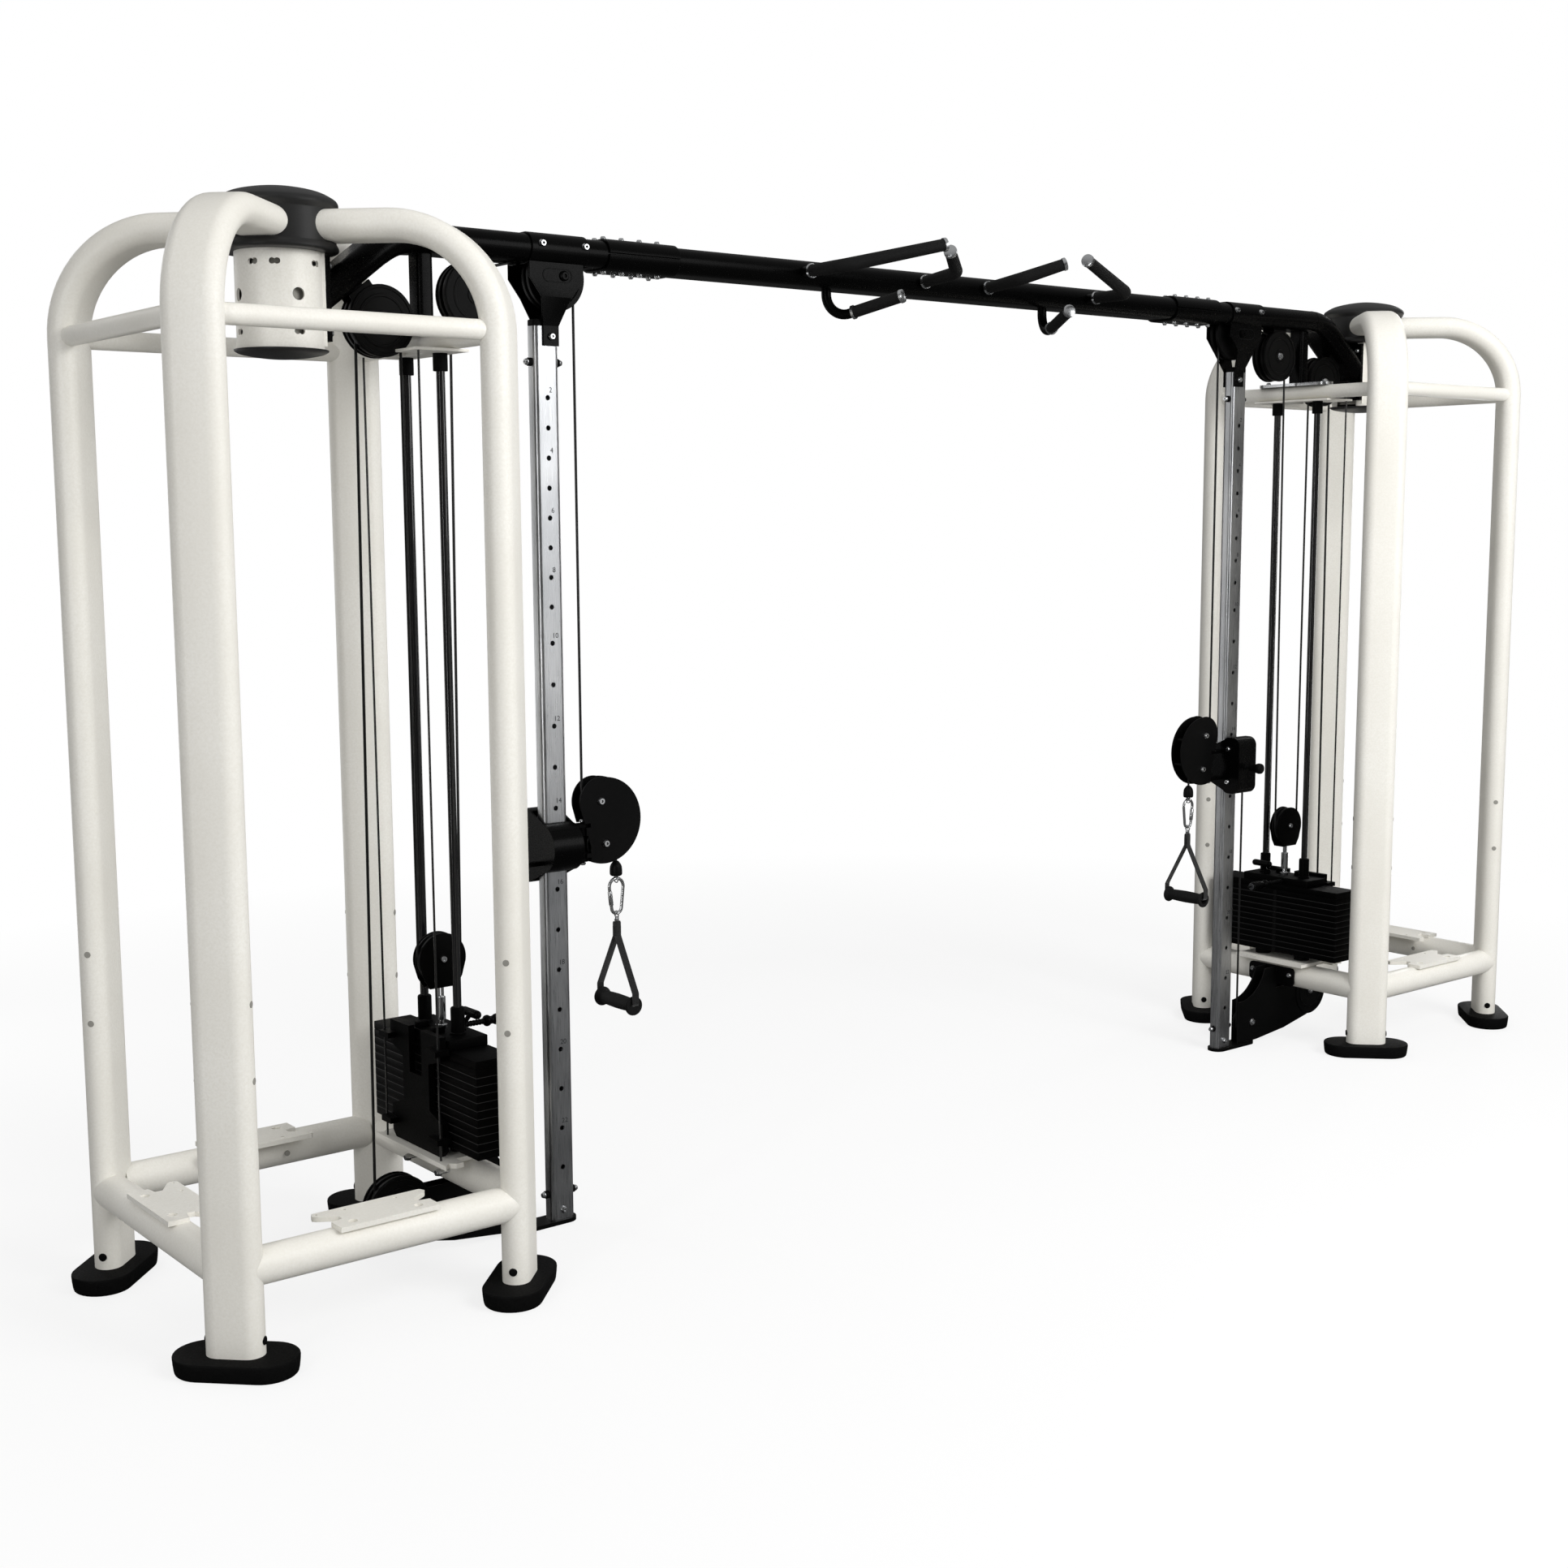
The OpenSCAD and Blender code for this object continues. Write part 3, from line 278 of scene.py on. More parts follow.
def rounded_box(width, height, radius, centre=(0, 0), steps=8):
    """Rectangle with round corners."""
    w = width / 2 - radius
    h = height / 2 - radius
    corners = ((w, h, 0), (-w, h, 90), (-w, -h, 180), (w, -h, 270))
    points = []
    for x, y, a in corners:
        points += arc((centre[0] + x, centre[1] + y), radius, a, a + 90, steps)
    return points


def smooth_line(points, steps=6):
    """Soft curve through a profile's points."""
    result = []
    for i in range(len(points) - 1):
        p0 = Vector(points[max(i - 1, 0)])
        p1 = Vector(points[i])
        p2 = Vector(points[i + 1])
        p3 = Vector(points[min(i + 2, len(points) - 1)])
        for k in range(steps):
            t = k / steps
            v = 0.5 * (2 * p1 + (p2 - p0) * t + (2 * p0 - 5 * p1 + 4 * p2 - p3) * t * t
                       + (3 * p1 - p0 - 3 * p2 + p3) * t * t * t)
            result.append(tuple(max(0.0, c) if j == 0 else c for j, c in enumerate(v)))
    return result + [tuple(points[-1])]


def bent_path(points, radius, steps=12):
    """Path through points with round bends in place of its corners."""
    points = [Vector(p) for p in points]
    path = [points[0]]
    for before, here, after in zip(points, points[1:], points[2:]):
        d0 = (here - before).normalized()
        d1 = (after - here).normalized()
        angle = d0.angle(d1)
        start = here - d0 * radius * math.tan(angle / 2)
        axis = d0.cross(d1).normalized()
        centre = start + axis.cross(d0) * radius
        for i in range(steps + 1):
            path.append(centre + Matrix.Rotation(angle * i / steps, 3, axis) @ (start - centre))
    path.append(points[-1])
    return path


def cut_path(path, start, end=None):
    """Part of a path between two distances along it."""
    result = []
    gone = 0.0
    for a, b in zip(path, path[1:]):
        span = (b - a).length
        if gone + span > start and not result:
            result.append(a.lerp(b, (start - gone) / span))
        if result:
            if end is not None and gone + span >= end:
                result.append(a.lerp(b, (end - gone) / span))
                return result
            result.append(b)
        gone += span
    return result


# Pieces


def new_object(name, data):
    """Puts a mesh, a text, a camera or a lamp into the scene."""
    item = bpy.data.objects.new(name, data)
    bpy.context.scene.collection.objects.link(item)
    return item


def show(name, mesh, sharp, body, stands_for):
    """Shades a mesh and says which body it rides on, which solids it stands for and which material slot it fills."""
    mesh.polygons.foreach_set("use_smooth", [True] * len(mesh.polygons))
    mesh.set_sharp_from_angle(angle=math.radians(sharp))
    piece = new_object(name, mesh)
    if body:
        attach(piece, body)
    if stands_for:
        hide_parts(*stands_for)
    return piece


def make_piece(name, shape, materials, body, stands_for=(), sharp=SHARP_DEGREES):
    """Turns a shape into a mesh object that rides on a body."""
    mesh = bpy.data.meshes.new(name)
    mesh.from_pydata(shape.points, [], shape.faces)
    for material in materials:
        mesh.materials.append(finish(material))
    mesh.polygons.foreach_set("material_index", shape.finish)
    work = bmesh.new()
    work.from_mesh(mesh)
    bmesh.ops.remove_doubles(work, verts=work.verts, dist=2e-6)
    bmesh.ops.dissolve_degenerate(work, edges=work.edges, dist=1e-7)
    bmesh.ops.recalc_face_normals(work, faces=work.faces)
    work.to_mesh(mesh)
    work.free()
    return show(name, mesh, sharp, body, stands_for)


def dress(node, material, edge=0.8, sharp=35, others=()):
    """Copies a solid with whole faces, soft edges and a finish; faces whose middle passes a test take another one."""
    source = frame["nodes"][node]
    work = bmesh.new()
    work.from_mesh(source.data)
    bmesh.ops.remove_doubles(work, verts=work.verts, dist=2e-6)
    bmesh.ops.dissolve_limit(
        work, angle_limit=math.radians(0.4), use_dissolve_boundaries=False, verts=work.verts, edges=work.edges)
    work.verts.index_update()
    points = [v.co.copy() for v in work.verts]
    faces = [[v.index for v in f.verts] for f in work.faces]
    work.free()
    mesh = bpy.data.meshes.new(node + "_finish")
    mesh.from_pydata(points, [], faces)
    mesh.materials.append(finish(material))
    for number, (other, where) in enumerate(others, 1):
        mesh.materials.append(finish(other))
        for face in mesh.polygons:
            if where(face.center / MM):
                face.material_index = number
    piece = show(node + "_finish", mesh, sharp, source["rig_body"], [node])
    if edge:
        bevel = piece.modifiers.new("Soft edges", "BEVEL")
        bevel.width = edge * MM
        bevel.segments = 2
        bevel.limit_method = "ANGLE"
        bevel.angle_limit = math.radians(sharp)
        bevel.use_clamp_overlap = True
    return piece


def repeat_tree():
    """Geometry nodes that repeat a shape at even steps along a line."""
    name = "Repeat along a line"
    if name in bpy.data.node_groups:
        return bpy.data.node_groups[name]
    tree = bpy.data.node_groups.new(name, "GeometryNodeTree")
    for label, kind in (("Geometry", "Geometry"), ("Count", "Int"), ("Step", "Vector"), ("Finish", "Material")):
        tree.interface.new_socket(label, in_out="INPUT", socket_type="NodeSocket" + kind)
    tree.interface.new_socket("Geometry", in_out="OUTPUT", socket_type="NodeSocketGeometry")
    given = add_node(tree, "NodeGroupInput")
    line = add_node(tree, "GeometryNodeMeshLine", {"Count": given.outputs["Count"], "Offset": given.outputs["Step"]})
    placed = add_node(tree, "GeometryNodeInstanceOnPoints", {
        "Points": line.outputs[0], "Instance": given.outputs["Geometry"]})
    real = add_node(tree, "GeometryNodeRealizeInstances", {"Geometry": placed.outputs[0]})
    coated = add_node(tree, "GeometryNodeSetMaterial", {
        "Geometry": real.outputs[0], "Material": given.outputs["Finish"]})
    add_node(tree, "NodeGroupOutput", {"Geometry": coated.outputs[0]})
    return tree


def repeat_piece(name, shape, material, body, count, step, stands_for=()):
    """Repeats a shape with the tree above and keeps the result as a plain mesh."""
    single = make_piece(name + "_one", shape, [material], None)
    tree = repeat_tree()
    modifier = single.modifiers.new("Repeat", "NODES")
    modifier.node_group = tree
    sign = shape.signs[0]
    values = {
        "Count": count, "Step": (sign * step[0] * MM, sign * step[1] * MM, step[2] * MM), "Finish": finish(material)}
    for item in tree.interface.items_tree:
        if item.in_out == "INPUT" and item.name in values:
            modifier[item.identifier] = values[item.name]
    bpy.context.view_layer.update()
    graph = bpy.context.evaluated_depsgraph_get()
    mesh = bpy.data.meshes.new_from_object(single.evaluated_get(graph))
    bpy.data.objects.remove(single)
    mesh.name = name
    return show(name, mesh, SHARP_DEGREES, body, stands_for)


# Materials


def add_node(tree, kind, inputs=None, **settings):
    """Adds a node, sets it up and links what its inputs are given."""
    node = tree.nodes.new(kind)
    for key, value in settings.items():
        setattr(node, key, value)
    for key, value in (inputs or {}).items():
        if isinstance(value, bpy.types.NodeSocket):
            tree.links.new(value, node.inputs[key])
        else:
            node.inputs[key].default_value = value
    return node


def ramp(tree, value, low, high, start=0.0, end=1.0):
    """Goes from low to high while a value goes from start to end."""
    return add_node(tree, "ShaderNodeMapRange", {
        "Value": value, "From Min": start, "From Max": end, "To Min": low, "To Max": high}).outputs[0]


def product(tree, a, b):
    """Multiplies two values."""
    return add_node(tree, "ShaderNodeMath", {0: a, 1: b}, operation="MULTIPLY").outputs[0]


def linear(code):
    """Linear colour of an sRGB hex value."""
    parts = [int(code[i:i + 2], 16) / 255 for i in (1, 3, 5)]
    return [p / 12.92 if p <= 0.04045 else ((p + 0.055) / 1.055) ** 2.4 for p in parts] + [1.0]


def surface(name, colours, size_mm, roughness, bump, metallic=0.0, stretch=(1, 1, 1), coat=0.0, sheen=0.0, specular=0.5,
            kind="noise"):
    """Material with two close tones, a roughness that wanders between two values and a bump, all at one grain size."""
    material = bpy.data.materials.new(name)
    material.use_nodes = True
    tree = material.node_tree
    shader = tree.nodes["Principled BSDF"]
    place = add_node(tree, "ShaderNodeTexCoord")
    mapped = add_node(tree, "ShaderNodeMapping", {"Vector": place.outputs["Object"], "Scale": stretch})
    grain_scale = 1 / (size_mm * MM)
    if kind == "weave":
        # At this share of the scale one wave spans about two grain sizes
        ribs = {"Vector": mapped.outputs[0], "Scale": grain_scale / 6.3}
        warp, weft = [add_node(tree, "ShaderNodeTexWave", ribs, bands_direction=way).outputs["Fac"] for way in "ZX"]
        grain = product(tree, warp, weft)
    else:
        grain = add_node(tree, "ShaderNodeTexNoise", {
            "Vector": mapped.outputs[0], "Scale": grain_scale, "Detail": 3.0, "Roughness": 0.55}).outputs["Fac"]
    broad = add_node(tree, "ShaderNodeTexNoise", {"Vector": place.outputs["Object"], "Scale": 3.5, "Detail": 2.0})
    tone = ramp(tree, product(tree, grain, broad.outputs["Fac"]), 0.0, 1.0, 0.1, 0.42)
    # The colour sockets of a mix node share their names with its other kinds, so they are set by place
    colour = add_node(tree, "ShaderNodeMix", {
        "Factor": tone, 6: linear(colours[0]), 7: linear(colours[1])}, data_type="RGBA")
    tree.links.new(colour.outputs[2], shader.inputs["Base Color"])
    tree.links.new(ramp(tree, grain, *roughness, 0.3, 0.7), shader.inputs["Roughness"])
    if bump:
        relief = add_node(tree, "ShaderNodeBump", {"Height": grain, "Strength": bump[0], "Distance": bump[1] * MM})
        tree.links.new(relief.outputs[0], shader.inputs["Normal"])
    levels = {"Metallic": metallic, "Specular IOR Level": specular, "Coat Weight": coat, "Sheen Weight": sheen}
    for key, value in levels.items():
        shader.inputs[key].default_value = value
    return material


# Each finish by its real material: two tones, grain size in millimetres, roughness range, bump, and what sets it apart
FINISHES = {
    # Polyester powder coat bakes to a faint orange peel, drawn a few times coarser than its true millimetre
    "ivory_powder_coat": (("#e6e3da", "#f1efe8"), 5, (0.36, 0.46), (0.12, 0.2), {}),
    "black_powder_coat": (("#020202", "#060606"), 3, (0.22, 0.32), (0.2, 0.2), dict(specular=0.07)),
    # Sheet steel parts have a finer, flatter black coat
    "black_sheet_coat": (("#030303", "#090909"), 2, (0.42, 0.55), (0.15, 0.15), dict(specular=0.13)),
    # Moulded rubber is dull, with a little dust that lightens it
    "charcoal_rubber": (("#070707", "#111111"), 4, (0.55, 0.72), (0.25, 0.3), dict(specular=0.07)),
    # Nitrile foam has small open cells
    "nitrile_foam": (("#080808", "#141414"), 1.6, (0.62, 0.85), (0.5, 0.4), dict(specular=0.35)),
    # Cold drawn tube, brushed lengthwise and zinc plated: fine streaks that run up the column
    "brushed_zinc": (("#a6a8ab", "#e6e7e8"), 1.5, (0.24, 0.42), (0.12, 0.1), dict(metallic=1.0, stretch=(1, 1, 0.02))),
    # Turned bolts and axle ends, bright with a slight haze
    "stainless_steel": (("#d0d2d4", "#e6e7e8"), 2, (0.2, 0.3), None, dict(metallic=1.0)),
    # Plated over polished steel, so that it mirrors almost sharply
    "chrome_plate": (("#cfd1d3", "#e2e3e4"), 6, (0.07, 0.14), None, dict(metallic=1.0)),
    # Ground steel bar, blackened and oiled, mirrors the light in long bands
    "blackened_rod": (("#0b0b0c", "#151516"), 2, (0.12, 0.2), None, dict(stretch=(1, 1, 0.05), coat=0.6)),
    # Cast plates are machined flat and painted satin black
    "painted_iron": (("#010101", "#040404"), 3, (0.45, 0.6), (0.2, 0.2), dict(specular=0.06)),
    # Where plates meet, a lighter grey line is painted in: a painted highlight for the light that their chamfered
    # corners catch
    "painted_seam_highlight": (("#262626", "#323232"), 3, (0.45, 0.6), None, dict(specular=0.3)),
    # Injection moulded, with a faint mottle from its fibres
    "glass_filled_nylon": (("#040404", "#0c0c0c"), 2.5, (0.38, 0.5), (0.12, 0.15), dict(specular=0.13)),
    # Moulded caps are a greyer plastic with a fine spark texture
    "moulded_abs": (("#1b1b1b", "#262626"), 2, (0.38, 0.5), (0.12, 0.15), dict(specular=0.4)),
    # Nylon jacket over wire rope, smooth with a soft shine
    "nylon_jacket": (("#0b0b0b", "#131313"), 1.5, (0.3, 0.4), None, {}),
    # Polyester webbing, woven with a rib about every three millimetres
    "polyester_webbing": (("#050505", "#1c1c1c"), 1.6, (0.75, 0.9), (0.8, 0.4), dict(sheen=0.3, kind="weave")),
    # Screen printed enamel dries flat
    "grey_enamel": (("#2c2d2f", "#38393b"), 3, (0.4, 0.5), None, {}),
    # A flat grey is painted shade for holes: it fills discs over the holes in the legs and rails, and a liner inside
    # each hub that shows through its holes
    "painted_hole_shade": (("#8f8d86", "#9a9891"), 3, (0.6, 0.7), None, {}),
}


def finish(name):
    """Material by name, made when it is first asked for."""
    if name in bpy.data.materials:
        return bpy.data.materials[name]
    *given, rest = FINISHES[name]
    return surface(name, *given, **rest)


# Builders of the pieces


def build_towers(look):
    """Legs with their feet, plugs and bolt holes."""
    legs, feet, plugs, holes = [Shape(-1, 1) for _ in range(4)]
    centre = Vector((TOWER_X, 0, 0))
    bend = LEG_RADIUS - LEG_BEND
    profile = [(LEG_RADIUS, 30), (LEG_RADIUS, 1000), (LEG_RADIUS, LEG_TOP - LEG_BEND)]
    profile += arc((bend, LEG_TOP - LEG_BEND), LEG_BEND, 0, 90, 20)[1:] + [(100, LEG_TOP)]
    for k in range(4):
        a = math.radians(45 + 90 * k)
        out = Vector((math.cos(a), math.sin(a), 0))
        side = Vector((-math.sin(a), math.cos(a), 0))
        path = [centre + out * r + Vector((0, 0, z)) for r, z in profile]
        legs.sweep([(s, t) for t, s in stadium(TUBE[0], TUBE[1], 16)], path, side)
        # The foot draws in towards the floor and has a soft top edge
        rings = []
        for inset, z in FOOT_LEVELS:
            outline = stadium(look.foot_length - 2 * inset, look.foot_width - 2 * inset, 18)
            rings.append([centre + out * (LEG_RADIUS + r) + side * s + Vector((0, 0, z)) for r, s in outline])
        feet.rings(rings)
        for s in (-1, 1):
            end = centre + out * LEG_RADIUS + side * s * TUBE[0] / 2
            disc(plugs, end + Vector((0, 0, PLUG_Z)), side * s, 9, 2.2)
            # Grey discs of painted shade mark the holes in the legs
            for z in SHROUD_HOLE_Z:
                disc(holes, end + Vector((0, 0, z)), side * s, 7, 0.5)
    # Grey discs of painted shade where the bolt holes pass through the three outer rails of the lower ring
    off, z, r = BASE_RAIL
    for way in ((0, -1), (0, 1), (1, 0)):
        facing = Vector((way[0], way[1], 0))
        along = Vector((-way[1], way[0], 0))
        for u in (-RAIL_HOLE_OFFSET, RAIL_HOLE_OFFSET):
            for s in (-1, 1):
                disc(holes, centre + facing * (off + s * r) + along * u + Vector((0, 0, z)), facing * s, 6.5, 0.6)
    make_piece("leg_tubes", legs, ["ivory_powder_coat"], "frame", ["legs"])
    make_piece("rubber_feet", feet, ["charcoal_rubber"], "frame", ["feet_and_stops"])
    make_piece("leg_plugs", plugs, ["charcoal_rubber"], "frame", ())
    make_piece("hole_shade_discs", holes, ["painted_hole_shade"], "frame", ())


def disc(shape, place, facing, radius, height):
    """Low domed disc on a face that looks any way."""
    facing = Vector(facing).normalized()
    u = facing.orthogonal().normalized()
    v = facing.cross(u)
    rings = []
    for share, h in ((1.0, -2.0), (1.0, height * 0.5), (0.86, height * 0.9), (0.5, height), (0.0, height)):
        rings.append([
            place + facing * h + radius * share * (math.cos(a) * u + math.sin(a) * v) for a in round_angles(24)])
    shape.rings(rings)


def build_stops(look):
    """Rubber washers, plugs, bumpers and collars that the feet's node also holds."""
    shape = Shape(-1, 1)
    w = COLUMN[0] / 2
    for z in STOP_WASHER_Z:
        for way in ("x", "-x"):
            shape.lathe([(0, w), (9.5, w), (9.5, w + 8), (8.5, w + 9), (0, w + 9)], (COLUMN_X, 0, z), way, 24)
    shape.prism(rounded_box(COLUMN[0], COLUMN[1], 10, (COLUMN_X, 0)), "xy", *COLUMN_PLUG_Z, 3)
    for y in (-ROD_Y, ROD_Y):
        collar = smooth_line([(9.6, 1995), (15, 1995), (16, 1999), (16, 2028), (15.5, 2033)], 3)
        shape.lathe(collar, (STACK_X, y, 0))
        shape.lathe([(9.6, 260), (24, 260), (24, 276), (21, 281), (9.6, 281)], (STACK_X, y, 0))
    make_piece("rubber_stops", shape, ["charcoal_rubber"], "frame", ())


def build_rails(look):
    """White rails and hub tubes."""
    for node in ("base_rails", "ring_rails", "hub_tubes"):
        dress(node, "ivory_powder_coat", look.edge)


def build_hub_caps(look):
    """Spools over and lens caps under the hubs, with a liner inside."""
    shape = Shape(-1, 1)
    upper = [(0, 2226), (117, 2226), (122, 2228), (124, 2232), (122.5, 2238), (119.5, 2243), (119, 2250), (119, 2302),
             (119.5, 2309), (122.5, 2314), (125, 2320), (124, 2326), (118, 2333), (95, 2345), (62, 2353), (28, 2358),
             (0, 2360)]
    lower = [(0, 2028), (97, 2028), (96, 2025), (86, 2020), (62, 2015), (30, 2011), (0, 2010)]
    hub = (TOWER_X, 0, 0)
    shape.lathe(upper[:1] + smooth_line(upper[1:], 4), hub, "z", 72)
    shape.lathe(lower[:2] + smooth_line(lower[2:], 4), hub, "z", 72)
    make_piece("hub_spools", shape, ["moulded_abs"], "frame", ["hub_caps"])
    # The liner's flat grey is painted shade, seen through the holes in the hub tubes
    liner = Shape(-1, 1)
    liner.lathe([(0, 2034), (74, 2034), (75, 2035), (75, 2221), (74, 2222), (0, 2222)], hub, "z", 48)
    make_piece("painted_hub_liners", liner, ["painted_hole_shade"], "frame", ())


def build_beam(look):
    """Booms, beam, column heads, guards and bolts."""
    for node in ("boom_arms", "cross_beam", "coupler_shells", "column_heads"):
        dress(node, "black_powder_coat", look.edge)
    # The plate that holds the rods' upper ends is painted like the rails, and the one on the rail is bare
    dress("boom_struts", "black_powder_coat", look.edge, 35, (
        ("ivory_powder_coat", lambda p: p.z < ROD_PLATE_TOP),
        ("stainless_steel", lambda p: RING_PLATE_Z[0] < p.z < RING_PLATE_Z[1])))
    for node in ("lower_booms", "pulley_guards"):
        dress(node, "black_sheet_coat", look.edge)
    # The top pulley's axle ends are painted with the head
    dress("frame_bolts", "stainless_steel", 0.5, 35, (
        ("black_powder_coat", lambda p: math.hypot(abs(p.x) - TOP_X, p.z - TOP_Z) < AXLE_END_R),))
    # Rolled rings stiffen the guards and the boom round its end pulley
    rings = Shape(-1, 1)
    profile = [(14, 21.5), (14, 24.5), (20, 24.5), (21, 22.6), (50, 22.6), (51, 24.2), (56, 24.2), (57, 22.6),
               (68, 22.6), (69, 24.8), (75, 24.8), (76.5, 23), (76.5, 21.5)]
    for cx, cz, rise in ((*BEAM_C, 0), (*HUB_C, 0), (*BASE_C, -2)):
        for way in ("y", "-y"):
            rings.lathe([(r, h + rise) for r, h in profile], (cx, 0, cz), way, 48)
    make_piece("guard_rings", rings, ["black_sheet_coat"], "frame", ())
    # A bead pressed into each cheek of the column heads frames the slot of the top pulley's axle
    slots = Shape(-1, 1)
    bead = [(-0.9, -1.2), (-0.9, 1.2), (0.9, 1.2), (0.9, -1.2)]
    route = [(TOP_X + HEAD_SLOT_SHIFT + along, TOP_Z + up) for up, along in stadium(*HEAD_SLOT)]
    for face in (-HEAD_CHEEK, HEAD_CHEEK):
        slots.sweep(bead, [(x, face, z) for x, z in route], (0, 1, 0), True)
    make_piece("head_slots", slots, ["black_sheet_coat"], "frame", ())


# Corners of each bar, where its foam starts along it, and the radius of its bend
PULL_UP_ROUTES = (
    (((511, -50, BEAM_Z), (511, -205, BEAM_Z), (254, -293, 2341)), 44, 38),
    (((114, -50, BEAM_Z), (114, -187, 2294), (206, -260, 2332)), 25, 30),
    (((390, 0, 2255), (390, 0, 2172), (300, -188, 2224)), 125, 52),
)


def build_pull_up_bars(look):
    """Three bent bars on each side of the middle, with foam, rings and end caps."""
    bars, grips, metal = Shape(), Shape(), Shape()
    for mirror in (-1, 1):
        for points, grip_start, bend in PULL_UP_ROUTES:
            path = bent_path([(mirror * x, y, z) for x, y, z in points], bend, 14)
            bars.tube(path, 12.5, 24)
            length = sum((b - a).length for a, b in zip(path, path[1:]))
            soft = cut_path(path, grip_start, length - 0.5)
            r = look.grip_diameter / 2
            grips.tube(soft, [r - 1.5] + [r] * (len(soft) - 2) + [r - 1.5], 24)
            ring = cut_path(path, grip_start - 6, grip_start + 0.5)
            metal.tube(ring, r + 1.2, 24)
            tip = (path[-1] - path[-2]).normalized()
            end = path[-1]
            metal.tube([end - tip * 6, end - tip, end + tip * 2.4, end + tip * 4], [r + 0.4, r + 0.4, r, r - 4], 24)
    make_piece("pull_up_bar_tubes", bars, ["black_powder_coat"], "frame", ["pull_up_bars"])
    grip = make_piece("pull_up_foam", grips, ["nitrile_foam"], "frame", ["pull_up_grips"])
    make_piece("pull_up_end_caps", metal, ["stainless_steel"], "frame", ())


def build_columns(look):
    """Pin columns with numbered holes."""
    dress("columns", "brushed_zinc", 0.6)
    build_hole_numbers(look)


def build_hole_numbers(look):
    """Plain even numbers beside every second pin hole from the top one, on both faces of each column."""
    heights = [first + step * k for first, step, count in (LOWER_HOLES, UPPER_HOLES) for k in range(count)]
    shape = Shape(-1, 1)
    for number, z in enumerate(sorted(heights, reverse=True), FIRST_NUMBER):
        if number % 2:
            continue
        curve = bpy.data.curves.new("hole_number", "FONT")
        curve.body = str(number)
        curve.size = look.number_height * MM
        curve.align_x = "CENTER"
        curve.extrude = NUMBER_RELIEF * MM
        text = new_object("hole_number", curve)
        bpy.context.view_layer.update()
        mesh = bpy.data.meshes.new_from_object(text.evaluated_get(bpy.context.evaluated_depsgraph_get()))
        points = [v.co / MM for v in mesh.vertices]
        faces = [list(p.vertices) for p in mesh.polygons]
        for face in (-1, 1):
            shape.add([(COLUMN_X - face * (p.x + NUMBER_SHIFT[0]), face * (COLUMN[1] / 2 + NUMBER_LIFT + p.z),
                        z + NUMBER_SHIFT[1] + p.y) for p in points], faces)
        bpy.data.objects.remove(text)
        bpy.data.curves.remove(curve)
        bpy.data.meshes.remove(mesh)
    make_piece("hole_numbers", shape, ["grey_enamel"], "frame", (), 30)


def plate_outline(less=0.0):
    """A weight plate seen from above, or one a little smaller."""
    return rounded_box(PLATE[0] - less, PLATE[1] - less, 3, (STACK_X, 0), 3)


def build_stacks(look):
    """Plates, rods, lifting heads, add-on weights and selector pins."""
    dress("guide_rods", "blackened_rod", 0)
    x0 = STACK_X - PLATE[0] / 2
    for name, sign in SIDES:
        plate = Shape(sign)
        plate.prism(plate_outline(), "xy", STACK_FOOT, STACK_FOOT + PLATE[2] - PLATE_GAP, look.plate_chamfer)
        stands_for = ["weight_plates"] if sign > 0 else ()
        repeat_piece(name + "_stack_plates", plate, "painted_iron", "frame", RESTING_PLATES, (0, 0, PLATE[2]),
                     stands_for)
        # Thin lighter slabs in the seams between plates are a painted highlight on the plates' chamfers
        seam = Shape(sign)
        seam_z = STACK_FOOT + PLATE[2]
        seam.prism(plate_outline(0.2), "xy", seam_z - 0.8, seam_z + 0.8, 0.2)
        repeat_piece(name + "_seam_highlight_slabs", seam, "painted_seam_highlight", "frame", RESTING_PLATES - 1, (0, 0, PLATE[2]), ())
        holes = Shape(sign)
        for i in range(RESTING_PLATES):
            holes.lathe([(0, 0), (7.5, 0), (7.5, 0.5), (5.4, 0.6), (5.2, 0.2), (0, 0.2)],
                        (x0, PLATE_HOLE_Y, STACK_FOOT + (i + 0.5) * PLATE[2]), "-x", 20)
        make_piece(name + "_selector_bushes", holes, ["glass_filled_nylon"], "frame", ())
        build_stack_head(name, sign, look)
        dress(name + "_floating_pulley", "glass_filled_nylon")
        dress(name + "_addon_weight", "painted_iron", look.edge)
        dress(name + "_addon_lever", "black_powder_coat", 0.6)
        build_selector(name, sign)


